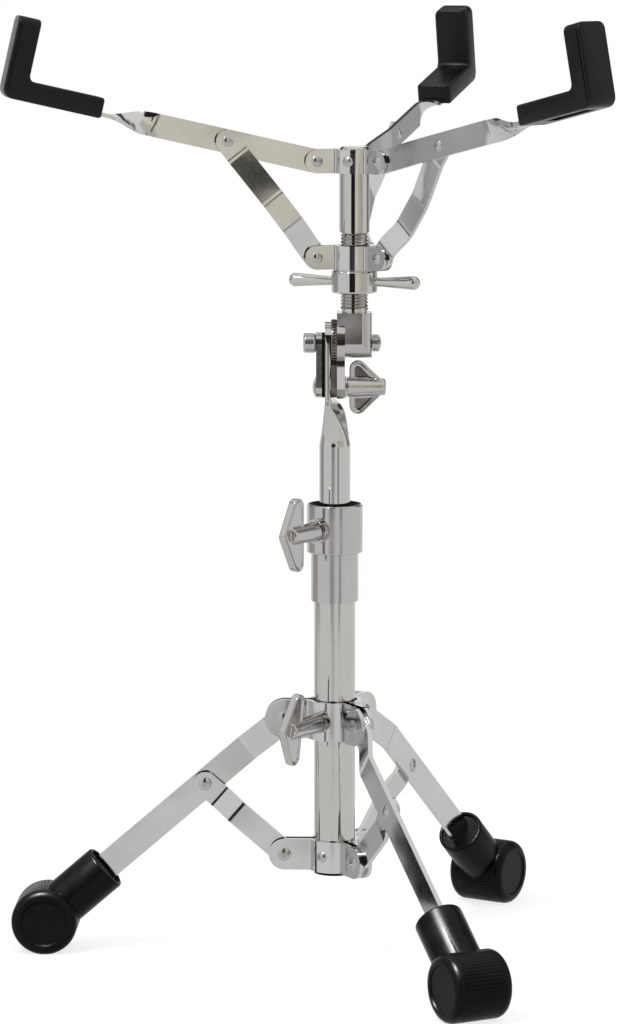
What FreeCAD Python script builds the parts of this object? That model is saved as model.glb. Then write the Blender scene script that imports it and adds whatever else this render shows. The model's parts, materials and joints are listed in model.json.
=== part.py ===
import FreeCAD, Part
import math
import os
from FreeCAD import Vector

# Snare drum stand in millimetres. The origin is on the floor under the mast, +Z is up,
# +X runs to the right as the stand is seen from its front, and +Y runs away from the viewer.

# Tripod
LEG_AZIMUTH = 178.0
LEG_ANGLE = 49.2
LEG_LENGTH = 197.5
BRACE_LENGTH = 65.3
TRIPOD_PIVOT_R = 31.0
LEG_WIDTH = 17.0
BRACE_WIDTH = 15.0
LEG_THICKNESS = 3.0
LEG_OFFSET = 7.2
LEG_JOG_START = 12.0
LEG_JOG_RUN = 18.0
BRACE_JOG_START = 12.0
BRACE_JOG_RUN = 14.0
FOOT_INSERT = 6.0

# Rubber feet
FOOT_RADIUS = 20.6
FOOT_LENGTH = 38.0
FOOT_EDGE = 5.0
FOOT_FLAT = 0.6
SLEEVE_RADIUS = 14.8
SLEEVE_LENGTH = 50.0
SLEEVE_EDGE = 2.0
SLEEVE_MOUTH_DEPTH = 2.0
SLEEVE_RIM = 2.2

# Stamped collars of the tripod
LUG_PLATE = 2.5
LUG_BEND = 1.5
LOWER_COLLAR_HEIGHT = 19.5
LEG_COLLAR_HEIGHT = 24.0
LINER_WALL = 1.3
TRIPOD_RIVET_R = 2.5
TRIPOD_HEAD_R = 4.2
TRIPOD_HEAD_HEIGHT = 1.3

# Tubes, height clamp and mast
BASE_TUBE_R = 12.7
BASE_TUBE_WALL = 1.6
BASE_TUBE_LENGTH = 205.0
PLUG_FLANGE = 2.0
PLUG_DEPTH = 5.0
CLAMP_SOCKET = 36.0
CLAMP_R = 17.2
CLAMP_HEIGHT = 30.0
SKIRT_R = 14.6
SKIRT_HEIGHT = 30.0
CLAMP_EDGE = 1.0
BUSH_FLANGE_R = 16.0
BUSH_FLANGE = 2.0
BUSH_DISH = 2.6
BUSH_LIP = 0.6
CLAMP_BOSS_R = 7.6
CLAMP_BOSS_REACH = 20.5
MAST_R = 9.525
MAST_WALL = 1.5
MAST_EXTENSION = 99.0
MAST_INSERT = 185.0
GUIDE_HEIGHT = 10.0

# Wing screws
CLAMP_SCREW_AZIMUTH = 234.0
SCREW_R = 3.0
WING_HUB_R = 6.2
CLAMP_WING_INNER = 35.0
LEG_WING_INNER = 41.0
LEG_WING_TURN = -6.0
WING_LENGTH = 20.0
WING_SPAN = 45.0
WING_TIP_R = 5.2
WING_POINT = 4.0
WING_THICKNESS = 5.0
WING_EDGE = 1.4
LEG_NUT_R = 6.6
LEG_NUT_LENGTH = 5.0

# Tilter, stacked along X
TONGUE_WIDTH = 26.0
TONGUE_THICKNESS = 3.7
TONGUE_SHIFT = 4.25
FLATTEN_START = 63.0
FLATTEN_NOSE = 38.0
FLATTEN_END = 34.0
DISC_R = 14.5
DISC_THICKNESS = 3.6
QUADRANT_THICKNESS = 4.9
BLOCK_LENGTH = 16.5
BLOCK_WIDTH = 18.0
BLOCK_CORNER = 6.0
BRACKET_TOP = 19.0
TILT_LIMIT = 25.0
LOCK_RADIUS = 27.0
LOCK_MARGIN = 4.0
TILTER_BOLT_R = 3.0
STRAP_HALF = 6.5
STRAP_THICKNESS = 3.5
SPACER_THICKNESS = 1.9
PIVOT_HEAD_R = 6.0
PIVOT_HEAD_LENGTH = 7.8
LOCK_HEAD_R = 6.7
LOCK_HEAD_LENGTH = 2.2
PIVOT_NUT_R = 5.2
PIVOT_NUT_LENGTH = 4.0
TILTER_WASHER_R = 6.5
TILTER_WASHER = 1.3
TILTER_WING_HUB_R = 5.0
TILTER_WING_LENGTH = 24.0
TILTER_WING_SPAN = 33.0

# Basket post, adjusting nut and hubs
POST_X = 11.8
THREAD_R = 8.75
THREAD_PITCH = 2.0
THREAD_DEPTH = 0.9
THREAD_LENGTH = 49.0
POST_R = 9.3
POST_LENGTH = 52.0
NUT_RISE = 12.0
NUT_R = 14.0
NUT_HEIGHT = 13.5
NUT_EDGE = 1.2
THRUST_WASHER = 1.0
THRUST_WASHER_R = 13.0
HANDLE_REACH = 42.0
HANDLE_ROOT_R = 2.6
HANDLE_TIP_R = 4.2
HANDLE_SINK = 5.0
HANDLE_TURN = -19.0
HUB_RING_R = 11.0
HUB_HEIGHT = 14.5
HUB_LUG_PLATE = 2.0
HUB_PIVOT_R = 23.8
HUB_SPACING = 58.5
HUB_RIVET_R = 2.0
HUB_HEAD_R = 3.4
HUB_HEAD_HEIGHT = 1.2
HUB_SCREW_R = 1.8
HUB_SCREW_HEAD_R = 3.2
HUB_SCREW_HEAD = 1.3

# Basket arms, struts and claws
ARM_AZIMUTH = 191.5
ARM_RISE = 13.0
ARM_WIDTH = 14.5
ARM_THICKNESS = 2.5
ARM_OFFSET = 3.0
ARM_JOG_START = 10.0
ARM_JOG_RUN = 30.0
STRUT_ON_ARM = 56.0
STRUT_OFFSET = 6.4
STRUT_LOW_JOG = 10.0
STRUT_TOP_JOG = 10.0
STRUT_JOG_RUN = 12.0
STRUT_TOP_RUN = 34.0
STRUT_BEND = 20.0
TWIST_LENGTH = 34.0
TWIST_CLEARANCE = 4.5
TANG_WIDTH = 13.0
TANG_DROP = 0.8
CLAW_REACH = 182.5
CLAW_BASE = 61.0
CLAW_HEIGHT = 49.5
CLAW_WIDTH = 22.0
CLAW_BASE_THICKNESS = 12.5
CLAW_WALL_THICKNESS = 14.0
CLAW_UNDER = 1.2
CLAW_EDGE = 2.0
CLAW_HEEL_R = 6.0
CLAW_INNER_R = 3.5
TANG_HEIGHT = 32.0

# Shared fits
STRAP_BEND = 8.0
PIVOT_GAP = 0.25
RUNNING_FIT = 0.05
SLIDING_FIT = 0.1
SEAT_FIT = 0.02
RUBBER_FIT = 0.1
OVERCUT = 1.0
LOFT_STEPS = 6
NECK_STEPS = 10

# Places worked out from the driving sizes
FOOT_Z = FOOT_RADIUS - FOOT_FLAT
LEG_DROP = math.cos(math.radians(LEG_ANGLE))
LEG_PIVOT_Z = FOOT_Z + LEG_LENGTH * LEG_DROP
BRACE_PIVOT_Z = LEG_PIVOT_Z - 2 * BRACE_LENGTH * LEG_DROP
LEG_SLOPE = LEG_ANGLE - 90
BRACE_SLOPE = 90 - LEG_ANGLE
BRACE_OFFSET = LEG_OFFSET - LEG_THICKNESS - PIVOT_GAP
TUBE_BOTTOM = BRACE_PIVOT_Z - LOWER_COLLAR_HEIGHT / 2
TUBE_TOP = TUBE_BOTTOM + BASE_TUBE_LENGTH
SKIRT_BOTTOM = TUBE_TOP - CLAMP_SOCKET
CLAMP_BOTTOM = SKIRT_BOTTOM + SKIRT_HEIGHT
CLAMP_TOP = CLAMP_BOTTOM + CLAMP_HEIGHT
CLAMP_SCREW_Z = (CLAMP_BOTTOM + CLAMP_TOP) / 2
TILT_Z = CLAMP_TOP + MAST_EXTENSION
MAST_BOTTOM = CLAMP_TOP - MAST_INSERT
LOCK_Z = TILT_Z - LOCK_RADIUS
TONGUE_RIGHT = TONGUE_THICKNESS / 2 - TONGUE_SHIFT
TONGUE_LEFT = TONGUE_RIGHT - TONGUE_THICKNESS
QUADRANT_LEFT = TONGUE_RIGHT + DISC_THICKNESS
QUADRANT_RIGHT = QUADRANT_LEFT + QUADRANT_THICKNESS
BLOCK_RIGHT = QUADRANT_RIGHT + BLOCK_LENGTH
STRAP_RIGHT = TONGUE_LEFT - SPACER_THICKNESS
STRAP_LEFT = STRAP_RIGHT - STRAP_THICKNESS
BRACKET_Z = TILT_Z + BRACKET_TOP
NUT_Z = BRACKET_Z + NUT_RISE
LOWER_HUB_Z = NUT_Z + NUT_HEIGHT + THRUST_WASHER + HUB_HEIGHT / 2
UPPER_HUB_Z = LOWER_HUB_Z + HUB_SPACING
ARM_RUN = STRUT_ON_ARM * math.cos(math.radians(ARM_RISE))
STRUT_DROP = HUB_SPACING + STRUT_ON_ARM * math.sin(math.radians(ARM_RISE))
STRUT_LENGTH = math.hypot(ARM_RUN, STRUT_DROP)
STRUT_SLOPE = math.degrees(math.atan2(STRUT_DROP, ARM_RUN))
STRUT_TOP_OFFSET = ARM_THICKNESS + PIVOT_GAP - ARM_OFFSET
CLAW_BACK = CLAW_REACH + CLAW_WALL_THICKNESS
CLAW_START = CLAW_BACK - CLAW_BASE
TWIST_START = CLAW_START - TWIST_CLEARANCE - TWIST_LENGTH
LEG_GAP = LEG_THICKNESS + 2 * PIVOT_GAP
ARM_GAP = ARM_THICKNESS + 2 * PIVOT_GAP
LINER_R = BASE_TUBE_R + SLIDING_FIT + LINER_WALL
LEG_SCREW_AZIMUTH = LEG_AZIMUTH + 60

LEGS = {"left": LEG_AZIMUTH, "front": LEG_AZIMUTH + 120, "back": LEG_AZIMUTH + 240}
ARMS = {"left": ARM_AZIMUTH, "right": ARM_AZIMUTH + 120, "back": ARM_AZIMUTH + 240}
X_AXIS = Vector(1, 0, 0)
Y_AXIS = Vector(0, 1, 0)
Z_AXIS = Vector(0, 0, 1)
HERE = Vector(0, 0, 0)


def polar(radius, degrees):
    """Point in the XY plane."""
    angle = math.radians(degrees)
    return Vector(radius * math.cos(angle), radius * math.sin(angle), 0)


def upright(radius, bottom, height):
    """Cylinder on the mast axis."""
    return Part.makeCylinder(radius, height, Vector(0, 0, bottom))


def tube(outer, inner, bottom, height):
    """Plain tube on the mast axis."""
    return upright(outer, bottom, height).cut(upright(inner, bottom, height))


def rims(cylinder):
    """Circular edges of a cylinder."""
    return [edge for edge in cylinder.Edges if len(edge.Vertexes) == 1]


def turned(shape, azimuth, axis_x=0.0):
    """Copy turned about the mast, or about a parallel axis at axis_x after a move to it."""
    copy = shape.copy()
    copy.rotate(HERE, Z_AXIS, azimuth)
    copy.translate(Vector(axis_x, 0, 0))
    return copy


def from_pivot(shape, radius, height, slope):
    """Copy of a bar drawn along X, set at a pivot and raised by slope degrees."""
    copy = shape.copy()
    copy.rotate(HERE, Y_AXIS, -slope)
    copy.translate(Vector(radius, 0, height))
    return copy


def bar_side(stations, offset, bend):
    """Edges along one side of a bent bar, with round bends, and the side's two ends."""
    points = [Vector(along, across, 0) for along, across in stations]
    edges = []
    normals = []
    for before, after in zip(points, points[1:]):
        direction = (after - before).normalize()
        normals.append(Vector(-direction.y, direction.x, 0))
    first = points[0] + normals[0] * offset
    last = first
    for corner, one, two in zip(points[1:-1], normals, normals[1:]):
        turn = one.getAngle(two)
        side = 1 if one.cross(two).z > 0 else -1
        reach = bend * math.tan(turn / 2)
        centre = corner + one * (side * bend) - Vector(one.y, -one.x, 0) * reach
        radius = side * bend - offset
        start = centre - one * radius
        middle = centre - (one + two).normalize() * radius
        end = centre - two * radius
        edges.append(Part.makeLine(last, start))
        edges.append(Part.Arc(start, middle, end).toShape())
        last = end
    final = points[-1] + normals[-1] * offset
    edges.append(Part.makeLine(last, final))
    return edges, first, final


def bent_bar(stations, thickness, width, bend=STRAP_BEND):
    """Flat bar through (along, across) stations on X and Y, with its width centred on Z."""
    left, left_start, left_end = bar_side(stations, thickness / 2, bend)
    right, right_start, right_end = bar_side(stations, -thickness / 2, bend)
    caps = [Part.makeLine(left_start, right_start), Part.makeLine(left_end, right_end)]
    wire = Part.Wire(Part.__sortEdges__(left + right + caps))
    bar = Part.Face(wire).extrude(Vector(0, 0, width))
    bar.translate(Vector(0, 0, -width / 2))
    return bar


def cross_hole(radius, along):
    """Long cylinder along Y that drills a bar at a distance from its pivot."""
    reach = 4 * LEG_WIDTH
    return Part.makeCylinder(radius, 2 * reach, Vector(along, -reach, 0), Y_AXIS)


def round_end_mask(width, length, far_round):
    """Outline of a bar with a round end at the pivot, and at the far pivot if asked."""
    deep = 4 * LEG_WIDTH
    mask = Part.makeBox(length, 2 * deep, width, Vector(0, -deep, -width / 2))
    mask = mask.fuse(cross_hole(width / 2, 0))
    if far_round:
        mask = mask.fuse(cross_hole(width / 2, length))
    return mask.removeSplitter()


def rounded_face(corners):
    """Face in the XY plane from (x, y, corner radius) points in order."""
    starts = []
    edges = []
    count = len(corners)
    for index, (x, y, radius) in enumerate(corners):
        corner = Vector(x, y, 0)
        before = Vector(*corners[index - 1][:2], 0) - corner
        after = Vector(*corners[(index + 1) % count][:2], 0) - corner
        before.normalize()
        after.normalize()
        if radius == 0:
            starts.append((corner, corner))
            continue
        half = before.getAngle(after) / 2
        reach = radius / math.tan(half)
        centre = corner + (before + after).normalize() * (radius / math.sin(half))
        middle = centre + (corner - centre).normalize() * radius
        start = corner + before * reach
        end = corner + after * reach
        starts.append((start, end))
        edges.append(Part.Arc(start, middle, end).toShape())
    for index, (_, end) in enumerate(starts):
        edges.append(Part.makeLine(end, starts[(index + 1) % count][0]))
    return Part.Face(Part.Wire(Part.__sortEdges__(edges)))


def panel(half, low, high):
    """Upright rectangle in the XY plane, centred on X = 0."""
    return rounded_face([(-half, low, 0), (half, low, 0), (half, high, 0), (-half, high, 0)])


def dome(radius, height, base, direction):
    """Low spherical rivet head that stands on base."""
    ball = (radius * radius + height * height) / (2 * height)
    low = math.degrees(math.asin((ball - height) / ball))
    return Part.makeSphere(ball, base - direction * (ball - height), direction, low, 90)


def rivet(radius, head_radius, head_height, low, high):
    """Rivet along Y between two outer faces, with a dimpled head on each."""
    body = Part.makeCylinder(radius, high - low, Vector(0, low, 0), Y_AXIS)
    for level, direction in ((low, Y_AXIS * -1), (high, Y_AXIS)):
        base = Vector(0, level, 0)
        head = dome(head_radius, head_height, base, direction)
        floor = base + direction * (head_height / 2)
        dimple = Part.makeCylinder(radius / 2, head_height, floor, direction)
        body = body.fuse(head.cut(dimple))
    return body.removeSplitter()


def hat_plate(core_r, gap, plate, pivot_r, height):
    """Stamped plate that hugs a round core and ends in one ear at azimuth 0 and one at 120."""
    ear_end = pivot_r + height / 2
    bend_y = gap / 2 + plate + LUG_BEND
    bend_x = math.sqrt((core_r + plate + LUG_BEND) ** 2 - bend_y ** 2)
    bend = complex(bend_x, bend_y)
    meet = math.atan2(bend_y, bend_x)
    swing = (meet - 1.5 * math.pi) / 2

    def side(face_y, bend_r, band_r):
        end = complex(ear_end, face_y)
        start = complex(bend_x, face_y)
        middle = bend + bend_r * complex(math.cos(swing), math.sin(swing))
        touch = band_r * complex(math.cos(meet), math.sin(meet))
        mirror = complex(math.cos(2 * math.pi / 3), math.sin(2 * math.pi / 3))
        ear = [end, start, middle, touch]
        twin = [mirror * point.conjugate() for point in ear]
        crown = polar(band_r, 60)
        first, low, mid, high = [Vector(point.real, point.imag, 0) for point in ear]
        last, low2, mid2, high2 = [Vector(point.real, point.imag, 0) for point in twin]
        edges = [Part.makeLine(first, low), Part.Arc(low, mid, high).toShape()]
        edges += [Part.Arc(high, crown, high2).toShape(), Part.Arc(high2, mid2, low2).toShape()]
        edges.append(Part.makeLine(low2, last))
        return edges, first, last

    inner, inner_a, inner_b = side(gap / 2, plate + LUG_BEND, core_r)
    outer, outer_a, outer_b = side(gap / 2 + plate, LUG_BEND, core_r + plate)
    caps = [Part.makeLine(inner_a, outer_a), Part.makeLine(inner_b, outer_b)]
    wire = Part.Wire(Part.__sortEdges__(inner + outer + caps))
    body = Part.Face(wire).extrude(Vector(0, 0, height))
    body.translate(Vector(0, 0, -height / 2))
    deep = gap / 2 + 2 * plate
    corner = Part.makeBox(height, 2 * deep, 2 * height, Vector(pivot_r, -deep, -height))
    corner = corner.cut(Part.makeCylinder(height / 2, 2 * deep, Vector(pivot_r, -deep, 0), Y_AXIS))
    return body.cut(corner).cut(turned(corner, 120))


def ear_plates(core_r, gap, plate, pivot_r, height, rivet_r, screw_r):
    """Three like plates round a core, drilled for the ear rivets and for one radial screw each."""
    blank = hat_plate(core_r, gap, plate, pivot_r, height)
    reach = gap / 2 + 2 * plate
    hole = Part.makeCylinder(rivet_r + SEAT_FIT, 2 * reach, Vector(pivot_r, -reach, 0), Y_AXIS)
    blank = blank.cut(hole).cut(turned(hole, 120))
    if screw_r:
        screw = Part.makeCylinder(screw_r + SEAT_FIT, 2 * core_r, HERE, polar(1, 60))
        blank = blank.cut(screw)
    return [turned(blank, 120 * index) for index in range(3)]


def radial_screws(inner, outer):
    """Three pan-head screws that point at the axis, with a dimple in each head."""
    shank = Part.makeCylinder(HUB_SCREW_R, outer - inner, Vector(inner, 0, 0), X_AXIS)
    head = dome(HUB_SCREW_HEAD_R, HUB_SCREW_HEAD, Vector(outer, 0, 0), X_AXIS)
    dimple_base = Vector(outer + HUB_SCREW_HEAD / 2, 0, 0)
    head = head.cut(Part.makeCylinder(HUB_SCREW_R / 2, HUB_SCREW_HEAD, dimple_base, X_AXIS))
    screw = shank.fuse(head).removeSplitter()
    return [turned(screw, 60 + 120 * index) for index in range(3)]


def three_rivets(shape, pivot_r):
    """One rivet for each of three ears."""
    placed = shape.copy()
    placed.translate(Vector(pivot_r, 0, 0))
    return [turned(placed, 120 * index) for index in range(3)]


def compound(shapes, azimuth=0.0, axis_x=0.0, height=0.0):
    """Group of separate solids, turned and lifted to its place."""
    group = turned(Part.makeCompound(shapes), azimuth, axis_x)
    group.translate(Vector(0, 0, height))
    return group


def wing_plate(inner, outer, span):
    """Wing in the XZ plane, with its axis along X, wide round tips and a blunt outer point."""
    half = span / 2
    wide = inner + 2 * WING_TIP_R
    top = [(outer, WING_POINT, WING_POINT), (wide, half, WING_TIP_R), (inner, half, WING_TIP_R)]
    low = [(x, -y, radius) for x, y, radius in reversed(top)]
    plate = rounded_face(top + low).extrude(Vector(0, 0, WING_THICKNESS))
    plate.translate(Vector(0, 0, -WING_THICKNESS / 2))
    plate.rotate(HERE, X_AXIS, 90)
    return plate.makeFillet(WING_EDGE, plate.Edges)


def wing_screw(tip, seat, wing_inner):
    """Wing screw along X: thread end at tip, hub from seat into the wing."""
    hub_end = wing_inner + WING_LENGTH / 2
    hub = Part.makeCone(WING_HUB_R, WING_HUB_R - WING_EDGE, hub_end - seat, Vector(seat, 0, 0), X_AXIS)
    shank = Part.makeCylinder(SCREW_R, seat - tip, Vector(tip, 0, 0), X_AXIS)
    wing = wing_plate(wing_inner, wing_inner + WING_LENGTH, WING_SPAN)
    return wing.fuse([hub, shank]).removeSplitter()


def leg_bar():
    """Leg strap: pivot at the origin, jogged sideways below it so that it passes the lower ears."""
    jog_end = LEG_JOG_START + LEG_JOG_RUN
    end = LEG_LENGTH - FOOT_INSERT
    path = [(-LEG_WIDTH, 0), (LEG_JOG_START, 0), (jog_end, -LEG_OFFSET), (end, -LEG_OFFSET)]
    bar = bent_bar(path, LEG_THICKNESS, LEG_WIDTH)
    bar = bar.common(round_end_mask(LEG_WIDTH, end, False))
    bar = bar.cut(cross_hole(TRIPOD_RIVET_R + RUNNING_FIT, 0))
    return bar.cut(cross_hole(TRIPOD_RIVET_R + SEAT_FIT, BRACE_LENGTH))


def brace_bar():
    """Brace strap from the lower collar out to the side of the leg."""
    jog_end = BRACE_LENGTH - BRACE_JOG_START
    jog_start = jog_end - BRACE_JOG_RUN
    path = [(-BRACE_WIDTH, 0), (jog_start, 0), (jog_end, -BRACE_OFFSET)]
    path.append((BRACE_LENGTH + BRACE_WIDTH, -BRACE_OFFSET))
    bar = bent_bar(path, LEG_THICKNESS, BRACE_WIDTH)
    bar = bar.common(round_end_mask(BRACE_WIDTH, BRACE_LENGTH, True))
    for along in (0, BRACE_LENGTH):
        bar = bar.cut(cross_hole(TRIPOD_RIVET_R + RUNNING_FIT, along))
    return bar


def foot_block():
    """Rubber foot on the leg's own axis: cross barrel, sleeve and the pocket for the strap."""
    centre = Vector(LEG_LENGTH, -LEG_OFFSET, 0)
    barrel_base = centre - Y_AXIS * (FOOT_LENGTH / 2)
    barrel = Part.makeCylinder(FOOT_RADIUS, FOOT_LENGTH, barrel_base, Y_AXIS)
    barrel = barrel.makeFillet(FOOT_EDGE, rims(barrel))
    sleeve = Part.makeCylinder(SLEEVE_RADIUS, SLEEVE_LENGTH, centre, X_AXIS * -1)
    mouth = centre - X_AXIS * SLEEVE_LENGTH
    rim = [edge for edge in sleeve.Edges if abs(edge.CenterOfMass.x - mouth.x) < SEAT_FIT]
    sleeve = sleeve.makeFillet(SLEEVE_EDGE, rim)
    body = barrel.fuse(sleeve).removeSplitter()
    cup = Part.makeCylinder(SLEEVE_RADIUS - SLEEVE_RIM, SLEEVE_MOUTH_DEPTH, mouth, X_AXIS)
    high = LEG_WIDTH + 2 * RUBBER_FIT
    thick = LEG_THICKNESS + 2 * RUBBER_FIT
    slot_start = Vector(mouth.x, centre.y - thick / 2, -high / 2)
    slot = Part.makeBox(SLEEVE_LENGTH - FOOT_INSERT, thick, high, slot_start)
    return body.cut(cup.fuse(slot))


def set_foot(azimuth):
    """Foot at the end of its leg, cut flat where it stands."""
    foot = from_pivot(foot_block(), TRIPOD_PIVOT_R, LEG_PIVOT_Z, LEG_SLOPE)
    wide = 4 * LEG_LENGTH
    floor = Part.makeBox(wide, wide, wide, Vector(-wide / 2, -wide / 2, -wide))
    return turned(foot.cut(floor), azimuth)


def tripod_pieces():
    """Legs, braces, feet and the rivets between legs and braces."""
    pieces = {}
    leg = from_pivot(leg_bar(), TRIPOD_PIVOT_R, LEG_PIVOT_Z, LEG_SLOPE)
    brace = from_pivot(brace_bar(), TRIPOD_PIVOT_R, BRACE_PIVOT_Z, BRACE_SLOPE)
    low = -LEG_OFFSET - LEG_THICKNESS / 2
    high = -BRACE_OFFSET + LEG_THICKNESS / 2 + PIVOT_GAP
    pin = rivet(TRIPOD_RIVET_R, TRIPOD_HEAD_R, TRIPOD_HEAD_HEIGHT, low, high)
    pin.translate(Vector(BRACE_LENGTH, 0, 0))
    pin = from_pivot(pin, TRIPOD_PIVOT_R, LEG_PIVOT_Z, LEG_SLOPE)
    for name, azimuth in LEGS.items():
        pieces["leg_" + name] = turned(leg, azimuth)
        pieces["brace_" + name] = turned(brace, azimuth)
        pieces["foot_" + name] = set_foot(azimuth)
        pieces["leg_brace_rivet_" + name] = turned(pin, azimuth)
    return pieces


def collar_rivet():
    """Rivet through both ears of a tripod collar."""
    half = LEG_GAP / 2 + LUG_PLATE
    return rivet(TRIPOD_RIVET_R, TRIPOD_HEAD_R, TRIPOD_HEAD_HEIGHT, -half, half)


def lower_collar_pieces():
    """Fixed collar at the foot of the base tube."""
    screw_in = BASE_TUBE_R - BASE_TUBE_WALL / 2
    screw_out = BASE_TUBE_R + LUG_PLATE
    plates = ear_plates(BASE_TUBE_R, LEG_GAP, LUG_PLATE, TRIPOD_PIVOT_R, LOWER_COLLAR_HEIGHT,
                        TRIPOD_RIVET_R, HUB_SCREW_R)
    rivets = three_rivets(collar_rivet(), TRIPOD_PIVOT_R)
    place = (LEG_AZIMUTH, 0, BRACE_PIVOT_Z)
    return {
        "lower_collar_plates": compound(plates, *place),
        "lower_collar_rivets": compound(rivets, *place),
        "lower_collar_screws": compound(radial_screws(screw_in, screw_out), *place),
    }


def leg_collar_pieces():
    """Sliding collar at the top of the legs, with its liner, clamp nut and wing screw."""
    plates = ear_plates(LINER_R, LEG_GAP, LUG_PLATE, TRIPOD_PIVOT_R, LEG_COLLAR_HEIGHT,
                        TRIPOD_RIVET_R, 0)
    toward_screw = Part.makeCylinder(SCREW_R + SLIDING_FIT, LEG_WING_INNER, HERE, X_AXIS)
    toward_screw = turned(toward_screw, LEG_SCREW_AZIMUTH)
    group = compound(plates, LEG_AZIMUTH).cut(toward_screw)
    band_r = LINER_R + LUG_PLATE
    nut = Part.makeCylinder(LEG_NUT_R, LEG_NUT_LENGTH + LUG_PLATE, Vector(LINER_R, 0, 0), X_AXIS)
    nut = turned(nut, LEG_SCREW_AZIMUTH).cut(upright(band_r, -LEG_NUT_R, 2 * LEG_NUT_R))
    nut = nut.cut(toward_screw)
    bore = BASE_TUBE_R + SLIDING_FIT
    liner = tube(LINER_R, bore, -LEG_COLLAR_HEIGHT / 2, LEG_COLLAR_HEIGHT).cut(toward_screw)
    seat = band_r + LEG_NUT_LENGTH + PIVOT_GAP
    screw = wing_screw(BASE_TUBE_R + PIVOT_GAP, seat, LEG_WING_INNER)
    screw.rotate(HERE, X_AXIS, LEG_WING_TURN)
    screw = turned(screw, LEG_SCREW_AZIMUTH)
    rivets = three_rivets(collar_rivet(), TRIPOD_PIVOT_R)
    return {
        "leg_collar_plates": compound([group], 0, 0, LEG_PIVOT_Z),
        "leg_collar_liner": compound([liner], 0, 0, LEG_PIVOT_Z),
        "leg_collar_nut": compound([nut], 0, 0, LEG_PIVOT_Z),
        "leg_collar_rivets": compound(rivets, LEG_AZIMUTH, 0, LEG_PIVOT_Z),
        "leg_clamp_screw": compound([screw], 0, 0, LEG_PIVOT_Z),
    }


def base_pieces():
    """Base tube and the plug in its lower end."""
    bore = BASE_TUBE_R - BASE_TUBE_WALL
    body = tube(BASE_TUBE_R, bore, TUBE_BOTTOM, BASE_TUBE_LENGTH)
    middle = Vector(0, 0, BRACE_PIVOT_Z)
    for index in range(3):
        aim = polar(1, LEG_AZIMUTH + 60 + 120 * index)
        body = body.cut(Part.makeCylinder(HUB_SCREW_R + SEAT_FIT, 2 * BASE_TUBE_R, middle, aim))
    flange = upright(BASE_TUBE_R, TUBE_BOTTOM - PLUG_FLANGE, PLUG_FLANGE)
    plug = flange.fuse(upright(bore - SEAT_FIT, TUBE_BOTTOM, PLUG_DEPTH))
    return {"base_tube": body, "base_plug": plug.removeSplitter()}


def height_clamp_pieces():
    """Cast clamp on the base tube, the bush that carries the mast, and the wing screw."""
    skirt = upright(SKIRT_R, SKIRT_BOTTOM, SKIRT_HEIGHT)
    head = upright(CLAMP_R, CLAMP_BOTTOM, CLAMP_HEIGHT)
    head = head.makeFillet(CLAMP_EDGE, rims(head))
    middle = Vector(0, 0, CLAMP_SCREW_Z)
    boss = Part.makeCylinder(CLAMP_BOSS_R, CLAMP_BOSS_REACH, middle, X_AXIS)
    body = head.fuse([skirt, turned(boss, CLAMP_SCREW_AZIMUTH)]).removeSplitter()
    bush_r = BASE_TUBE_R + SEAT_FIT
    body = body.cut(upright(bush_r, SKIRT_BOTTOM, SKIRT_HEIGHT + CLAMP_HEIGHT))
    recess_z = CLAMP_TOP - BUSH_FLANGE
    body = body.cut(upright(BUSH_FLANGE_R + RUNNING_FIT, recess_z, BUSH_FLANGE))
    screw_hole = Part.makeCylinder(SCREW_R + SLIDING_FIT, CLAMP_WING_INNER, middle, X_AXIS)
    body = body.cut(turned(screw_hole, CLAMP_SCREW_AZIMUTH))
    bush_bottom = TUBE_TOP + PIVOT_GAP
    bush_height = CLAMP_TOP - bush_bottom
    bush = upright(bush_r - RUNNING_FIT, bush_bottom, bush_height)
    bush = bush.fuse(upright(BUSH_FLANGE_R, recess_z, BUSH_FLANGE)).removeSplitter()
    bore = MAST_R + RUNNING_FIT
    bush = bush.cut(upright(bore, bush_bottom, bush_height))
    dish_base = Vector(0, 0, CLAMP_TOP - BUSH_DISH)
    bush = bush.cut(Part.makeCone(bore + BUSH_LIP, BUSH_FLANGE_R - BUSH_LIP, BUSH_DISH, dish_base))
    screw = wing_screw(bush_r + PIVOT_GAP, CLAMP_BOSS_REACH + PIVOT_GAP, CLAMP_WING_INNER)
    screw.translate(Vector(0, 0, CLAMP_SCREW_Z))
    return {
        "height_clamp_body": body,
        "height_clamp_bush": bush,
        "height_clamp_screw": turned(screw, CLAMP_SCREW_AZIMUTH),
    }


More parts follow.
